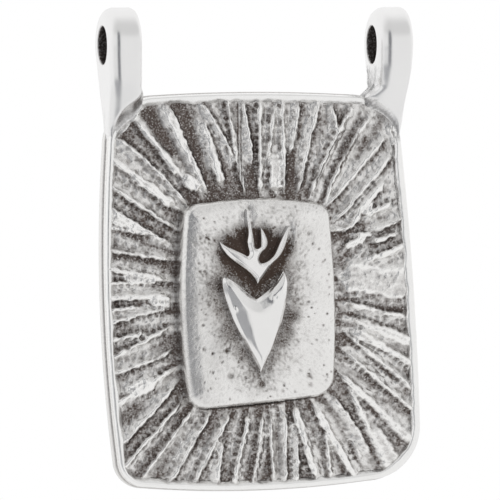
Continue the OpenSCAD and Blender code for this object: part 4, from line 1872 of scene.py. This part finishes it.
    def _seated(self, ring: np.ndarray, halfway: float, half: float) -> np.ndarray:
        """Leans, flares, roughens and seats a ring on the plate's corner, and darkens its foot with painted
        shade and patina.

        Args:
            ring: Rows of X, Y, Z and tarnish.
            halfway: Middle of the bail along X in mm.
            half: Half of its thickness in mm.

        Returns:
            The seated rows.
        """
        x, y, z, tarnish = ring.T.copy()
        left = (halfway - x) / half
        leftness = smoothstep(0.6, 1.0, left) * smoothstep(-1.2, -1.9, z) * smoothstep(-1.9, -1.2, y)
        skin = ripple(y, z, 0.3, 19) + 0.6 * ripple(y, z, 0.14, 20)
        x = self._spread(x, z, self.side.value * left) + self.rough * skin * leftness
        floor, inland = self._floor(x, y, halfway, half)
        ahead = y < 0.0
        above = z - floor
        limit = np.where(ahead, self.foot_y[0] - 0.08 * inland, self.foot_y[1])
        ease = smoothstep(0.0, np.where(ahead, self.facet, 1.0), above)
        eased = limit + (np.abs(y) - limit) * ease
        y = np.where(np.abs(y) > limit, np.sign(y) * eased, y)
        z = np.maximum(z, floor)
        speck = ripple(x, z, 0.16, 30)
        # Painted shade together with patina: the front slope darkens towards the foot, where the bail meets the
        # plate.
        foot_shade_and_patina = smoothstep(0.8 * self.facet, 0.25 * self.facet, above + 0.1 * skin + self.grainy * speck)
        foot_shade_and_patina *= smoothstep(-0.01, self.hem, above + self.hem * speck)
        foot_shade_and_patina *= (z < -2.9) * ahead * inland
        tarnish += self.stain * foot_shade_and_patina + 8.0 * self.rough * leftness * np.clip(0.35 - skin, 0.0, 1.0)
        return np.column_stack([x, y, z, np.clip(tarnish, 0.0, 1.0)])

    def _spread(self, x: np.ndarray, z: np.ndarray, inner: np.ndarray) -> np.ndarray:
        """Leans, flares and thickens the bail sideways.

        Args:
            x: Places along X in mm.
            z: Places along Z in mm.
            inner: Place of each point between the outer face at -1 and the inner one at 1.

        Returns:
            The new places along X in mm.
        """
        outer_half = smoothstep(1.0, -1.0, inner)
        shift = self.flare * smoothstep(-2.7, -3.6, z) * smoothstep(-0.2, 1.0, inner)
        shift += self.widen * smoothstep(0.0, 1.0, inner) - self.spread * smoothstep(0.2, -1.0, inner)
        shift += self.lean * smoothstep(0.2, -6.4, z) * outer_half
        shift += self.tuck * smoothstep(-4.8, self.tail - 0.2, z) * outer_half
        return x - self.side.value * shift

    def _floor(
        self, x: np.ndarray, y: np.ndarray, halfway: float, half: float
    ) -> tuple[np.ndarray, np.ndarray]:
        """Finds how far down the foot reaches over the plate's corner.

        Args:
            x: Places along X in mm.
            y: Places along Y in mm.
            halfway: Middle of the bail along X in mm.
            half: Half of its thickness in mm.

        Returns:
            The lowest places along Z in mm, and how far in from the outer face they are, from 0 to 1.
        """
        outwards = self.side.value
        corner_z, sunk = -9.0, 0.1
        edge = PLATE.ring(0.0, 24, 60)
        upper = edge[edge[:, 1] > corner_z]
        upper = upper[np.argsort(upper[:, 0])]
        seat = np.interp(x, upper[:, 0], upper[:, 1])
        chord = self.chord_z - self.chord_slope * (outwards * x - self.chord_x)
        inset = half + self.spread - self.lean + outwards * (halfway - x)
        inland = smoothstep(0.0, 0.35, inset)
        foot = np.maximum(chord, seat - self.lap)
        foot = self.tail + (foot - self.tail) * inland
        return seat - sunk + (foot - seat + sunk) * smoothstep(0.4, -0.4, y), inland


@dataclass(frozen=True)
class PhotoCamera:
    """Long lens at the photograph's viewing angle.

    Attributes:
        azimuth: Degrees round the pendant, with 0 in front of it and less than 0 to the left.
        roll: Degrees that the pendant leans to the left in the picture.
        distance: Distance to the pendant in metres.
        picture: Width of the picture at the pendant in mm.
        aim: What the middle of the picture shows, across and up from the origin, in mm.
    """

    azimuth: float = -15.0
    roll: float = 0.45
    distance: float = 0.7
    picture: float = 33.11
    aim: Point = (-0.22, -13.58)

    def make(self) -> None:
        """Places the camera and gives it to the scene."""
        turn, tilt = math.radians(self.azimuth), math.radians(self.roll)
        across, up = Vector((math.cos(turn), math.sin(turn), 0.0)), Vector((0.0, 0.0, 1.0))
        back = Vector((math.sin(turn), -math.cos(turn), 0.0))
        right = across * math.cos(tilt) - up * math.sin(tilt)
        above = across * math.sin(tilt) + up * math.cos(tilt)
        target = (across * self.aim[0] + up * self.aim[1]) * MM
        place = Matrix((right, above, back)).transposed().to_4x4()
        place.translation = target + back * self.distance
        data = bpy.data.cameras.new("photo_camera")
        data.lens = data.sensor_width * self.distance / (self.picture * MM)
        camera = bpy.data.objects.new("photo_camera", data)
        camera.matrix_world = place
        bpy.context.scene.collection.objects.link(camera)
        bpy.context.scene.camera = camera


def around(azimuth: float, elevation: float) -> Vector:
    """Direction from the pendant, by degrees round it and above the horizon."""
    turn, lift = math.radians(azimuth), math.radians(elevation)
    return Vector((math.sin(turn) * math.cos(lift), -math.cos(turn) * math.cos(lift), math.sin(lift)))


@dataclass(frozen=True)
class SoftBox:
    """Square soft lamp turned to the pendant.

    Attributes:
        azimuth: Degrees round the pendant, with 0 in front of it.
        elevation: Degrees above the horizon.
        distance: Distance in metres.
        size: Side in metres.
        power: Power in watts.
    """

    azimuth: float
    elevation: float
    distance: float
    size: float
    power: float


@dataclass(frozen=True)
class Card:
    """Grey card that shows only in what the silver reflects.

    Attributes:
        azimuth: Degrees round the pendant, with 0 in front of it.
        elevation: Degrees above the horizon.
        distance: Distance in metres.
        size: Width and height in metres.
        shade: Its colour.
        fade: Share of its width over which each of its sides fades out.
    """

    azimuth: float
    elevation: float
    distance: float
    size: Pair
    shade: Colour
    fade: float = 0.25


@dataclass
class Studio:
    """White studio with soft lamps, grey cards and a plain pale floor under the pendant.

    Attributes:
        lamps: The soft lamps.
        cards: The grey cards.
        front: Level of what the silver reflects from the front, where the back is white.
        top: Level of what it reflects from above the front.
        top_at: Upward slant of the reflected way at which the top starts and is full.
        back_at: Backward slant of that way at which the white back starts and is full.
        ambient: Level of the light that comes from all sides.
        floor_drop: Distance from the pendant to the floor in mm.
        floor_r: Radius of the floor in metres.
        floor_paint: Colour of the floor.
        floor_glow: Light of its own that it shows to the camera.
        floor_dim: Colour of the floor's left side in what the silver reflects.
        floor_lit: Colour of its right side and its back there.
        lit_x: Places along X in metres between which the right side starts.
        lit_y: Places along Y in metres between which the back starts.
    """

    lamps: tuple[SoftBox, ...] = (
        SoftBox(-60.0, 55.0, 0.6, 0.5, 1.0),
        SoftBox(70.0, 35.0, 0.6, 0.5, 1.0),
    )
    cards: tuple[Card, ...] = (
        Card(-21.0, 8.0, 0.5, (0.32, 0.62), (0.2, 0.205, 0.22)),
    )
    front: float = 0.9
    top: float = 0.72
    top_at: Pair = (0.3, 0.6)
    back_at: Pair = (-0.5, 0.3)
    ambient: float = 0.6
    floor_drop: float = 6.0
    floor_r: float = 0.2
    floor_paint: Colour = (0.85, 0.85, 0.85)
    floor_glow: float = 0.3
    floor_dim: Colour = (0.4, 0.405, 0.42)
    floor_lit: Colour = (0.9, 0.9, 0.9)
    lit_x: Pair = (-0.03, 0.01)
    lit_y: Pair = (-0.035, -0.015)

    def make(self) -> None:
        """Builds the light and the floor."""
        self._world()
        self._floor()
        middle = (cad_low + cad_high) / 2
        for index, lamp in enumerate(self.lamps):
            data = bpy.data.lights.new(f"soft_box_{index}", "AREA")
            data.size = lamp.size
            data.energy = lamp.power
            box = bpy.data.objects.new(data.name, data)
            way = around(lamp.azimuth, lamp.elevation)
            box.location = middle + way * lamp.distance
            box.rotation_euler = way.to_track_quat("Z", "Y").to_euler()
            box.visible_glossy = False
            bpy.context.scene.collection.objects.link(box)
        for index, card in enumerate(self.cards):
            self._card(index, card, middle)

    def _world(self) -> None:
        """White to the camera and glass, a little greyer in what the silver reflects, softer as light."""
        world = bpy.data.worlds.new("white_studio")
        bpy.context.scene.world = world
        world.use_nodes = True
        graph = NodeGraph(world.node_tree)
        rays = graph.add("ShaderNodeLightPath").outputs
        way = graph.add("ShaderNodeSeparateXYZ")
        graph.feed(way.inputs[0], graph.add("ShaderNodeTexCoord").outputs["Generated"])
        high = graph.step(way.outputs["Z"], *self.top_at)
        behind = graph.step(way.outputs["Y"], *self.back_at)
        ahead = graph.span(high, self.front, self.top)
        missing = graph.math("SUBTRACT", 1.0, ahead)
        mirrored = graph.math("ADD", ahead, graph.math("MULTIPLY", behind, missing))
        shiny = graph.math("MULTIPLY", rays["Is Glossy Ray"], mirrored)
        plain = graph.math("MAXIMUM", rays["Is Camera Ray"], rays["Is Transmission Ray"])
        seen = graph.math("MAXIMUM", plain, shiny)
        sky = graph.add("ShaderNodeBackground")
        graph.feed(sky.inputs["Strength"], graph.math("MAXIMUM", seen, self.ambient))
        output = graph.add("ShaderNodeOutputWorld")
        sky.inputs["Color"].default_value = opaque((1.0, 1.0, 1.0))
        graph.feed(output.inputs["Surface"], sky.outputs["Background"])

    def _card(self, index: int, card: Card, middle: Vector) -> None:
        """Builds one grey card.

        Args:
            index: Number of the card.
            card: The card.
            middle: Middle of the pendant.
        """
        sheet = bmesh.new()
        sheet.loops.layers.uv.new("UVMap")
        bmesh.ops.create_grid(sheet, x_segments=1, y_segments=1, size=0.5, calc_uvs=True)
        bmesh.ops.scale(sheet, vec=(card.size[0], card.size[1], 1.0), verts=sheet.verts)
        way = around(card.azimuth, card.elevation)
        turn = way.to_track_quat("Z", "Y").to_matrix().to_4x4()
        bmesh.ops.transform(sheet, matrix=turn, verts=sheet.verts)
        bmesh.ops.translate(sheet, vec=middle + way * card.distance, verts=sheet.verts)
        shown = as_object(sheet, f"card_{index}")
        paper = bpy.data.materials.new(shown.name)
        paper.use_nodes = True
        graph = NodeGraph(paper.node_tree)
        glow = graph.add("ShaderNodeEmission")
        across = graph.add("ShaderNodeSeparateXYZ")
        graph.feed(across.inputs[0], graph.add("ShaderNodeTexCoord").outputs["UV"])
        aside = graph.math("ABSOLUTE", graph.math("SUBTRACT", across.outputs["X"], 0.5), 0.0)
        faded = graph.step(aside, 0.5 - card.fade, 0.5)
        pale = opaque((self.front, self.front, self.front))
        graph.feed(glow.inputs["Color"], graph.mix(faded, opaque(card.shade), pale))
        output = graph.add("ShaderNodeOutputMaterial")
        graph.feed(output.inputs["Surface"], glow.outputs["Emission"])
        shown.data.materials.append(paper)
        shown.visible_camera = False
        shown.visible_diffuse = False
        shown.visible_shadow = False
        shown.visible_transmission = False

    def _floor(self) -> None:
        """Builds the floor, which is white to the camera and keeps the pendant's shadow."""
        disc = bmesh.new()
        bmesh.ops.create_circle(disc, cap_ends=True, segments=96, radius=self.floor_r)
        level = cad_low.z - self.floor_drop * MM
        bmesh.ops.translate(disc, vec=(0.0, 0.0, level), verts=disc.verts)
        floor = as_object(disc, "floor")
        paint = bpy.data.materials.new("pale floor")
        paint.use_nodes = True
        graph = NodeGraph(paint.node_tree)
        shader = graph.add("ShaderNodeBsdfPrincipled")
        shader.inputs["Base Color"].default_value = opaque(self.floor_paint)
        shader.inputs["Roughness"].default_value = 0.8
        shader.inputs["Emission Color"].default_value = opaque((1.0, 1.0, 1.0))
        rays = graph.add("ShaderNodeLightPath").outputs
        glow = graph.span(rays["Is Camera Ray"], 0.0, self.floor_glow)
        graph.feed(shader.inputs["Emission Strength"], glow)
        across = graph.add("ShaderNodeSeparateXYZ")
        graph.feed(across.inputs[0], graph.add("ShaderNodeNewGeometry").outputs["Position"])
        behind = graph.step(across.outputs["Y"], *self.lit_y)
        lit = graph.math("MAXIMUM", graph.step(across.outputs["X"], *self.lit_x), behind)
        grey = graph.add("ShaderNodeEmission")
        graph.feed(grey.inputs["Color"], graph.mix(lit, opaque(self.floor_dim), opaque(self.floor_lit)))
        mixed = graph.add("ShaderNodeMixShader")
        graph.feed(mixed.inputs[0], rays["Is Glossy Ray"])
        graph.feed(mixed.inputs[1], shader.outputs["BSDF"])
        graph.feed(mixed.inputs[2], grey.outputs["Emission"])
        output = graph.add("ShaderNodeOutputMaterial")
        graph.feed(output.inputs["Surface"], mixed.outputs["Shader"])
        floor.data.materials.append(paint)


def main() -> None:
    """Builds and reports the pendant's pieces in order, and builds the studio round them."""
    logging.basicConfig(level=logging.INFO, format="%(name)s: %(message)s")
    bpy.context.scene.view_settings.view_transform = "Standard"
    PhotoCamera().make()
    pieces: tuple[Piece, ...] = (
        BackPlate(),
        RayFrame(),
        BorderWire(),
        Tablet(),
        Heart(),
        Flame(),
        Bail(
            Side.LEFT, left_r=0.75, lean=0.2, flare=0.3, chord_x=7.45, chord_z=-3.74, widen=0.18,
            tail=-6.3, facet=1.4,
        ),
        Bail(
            Side.RIGHT, left_r=0.9, lean=0.45, flare=0.7, rough=0.05, lap=0.7, spread=0.28,
            tail=-7.0, facet=0.8, stain=0.5, grainy=0.3, hem=0.0, tuck=0.3,
            fronts=((-0.3, 2.48), (-1.6, 2.38), (-2.6, 2.05), (-3.6, 1.5), (-4.6, 1.15), (-6.7, 1.0)),
        ),
    )
    for piece in pieces:
        made = piece.make()
        log.info("%s: %d faces", made.name, len(made.data.polygons))
    Studio().make()


if __name__ == "__main__":
    main()
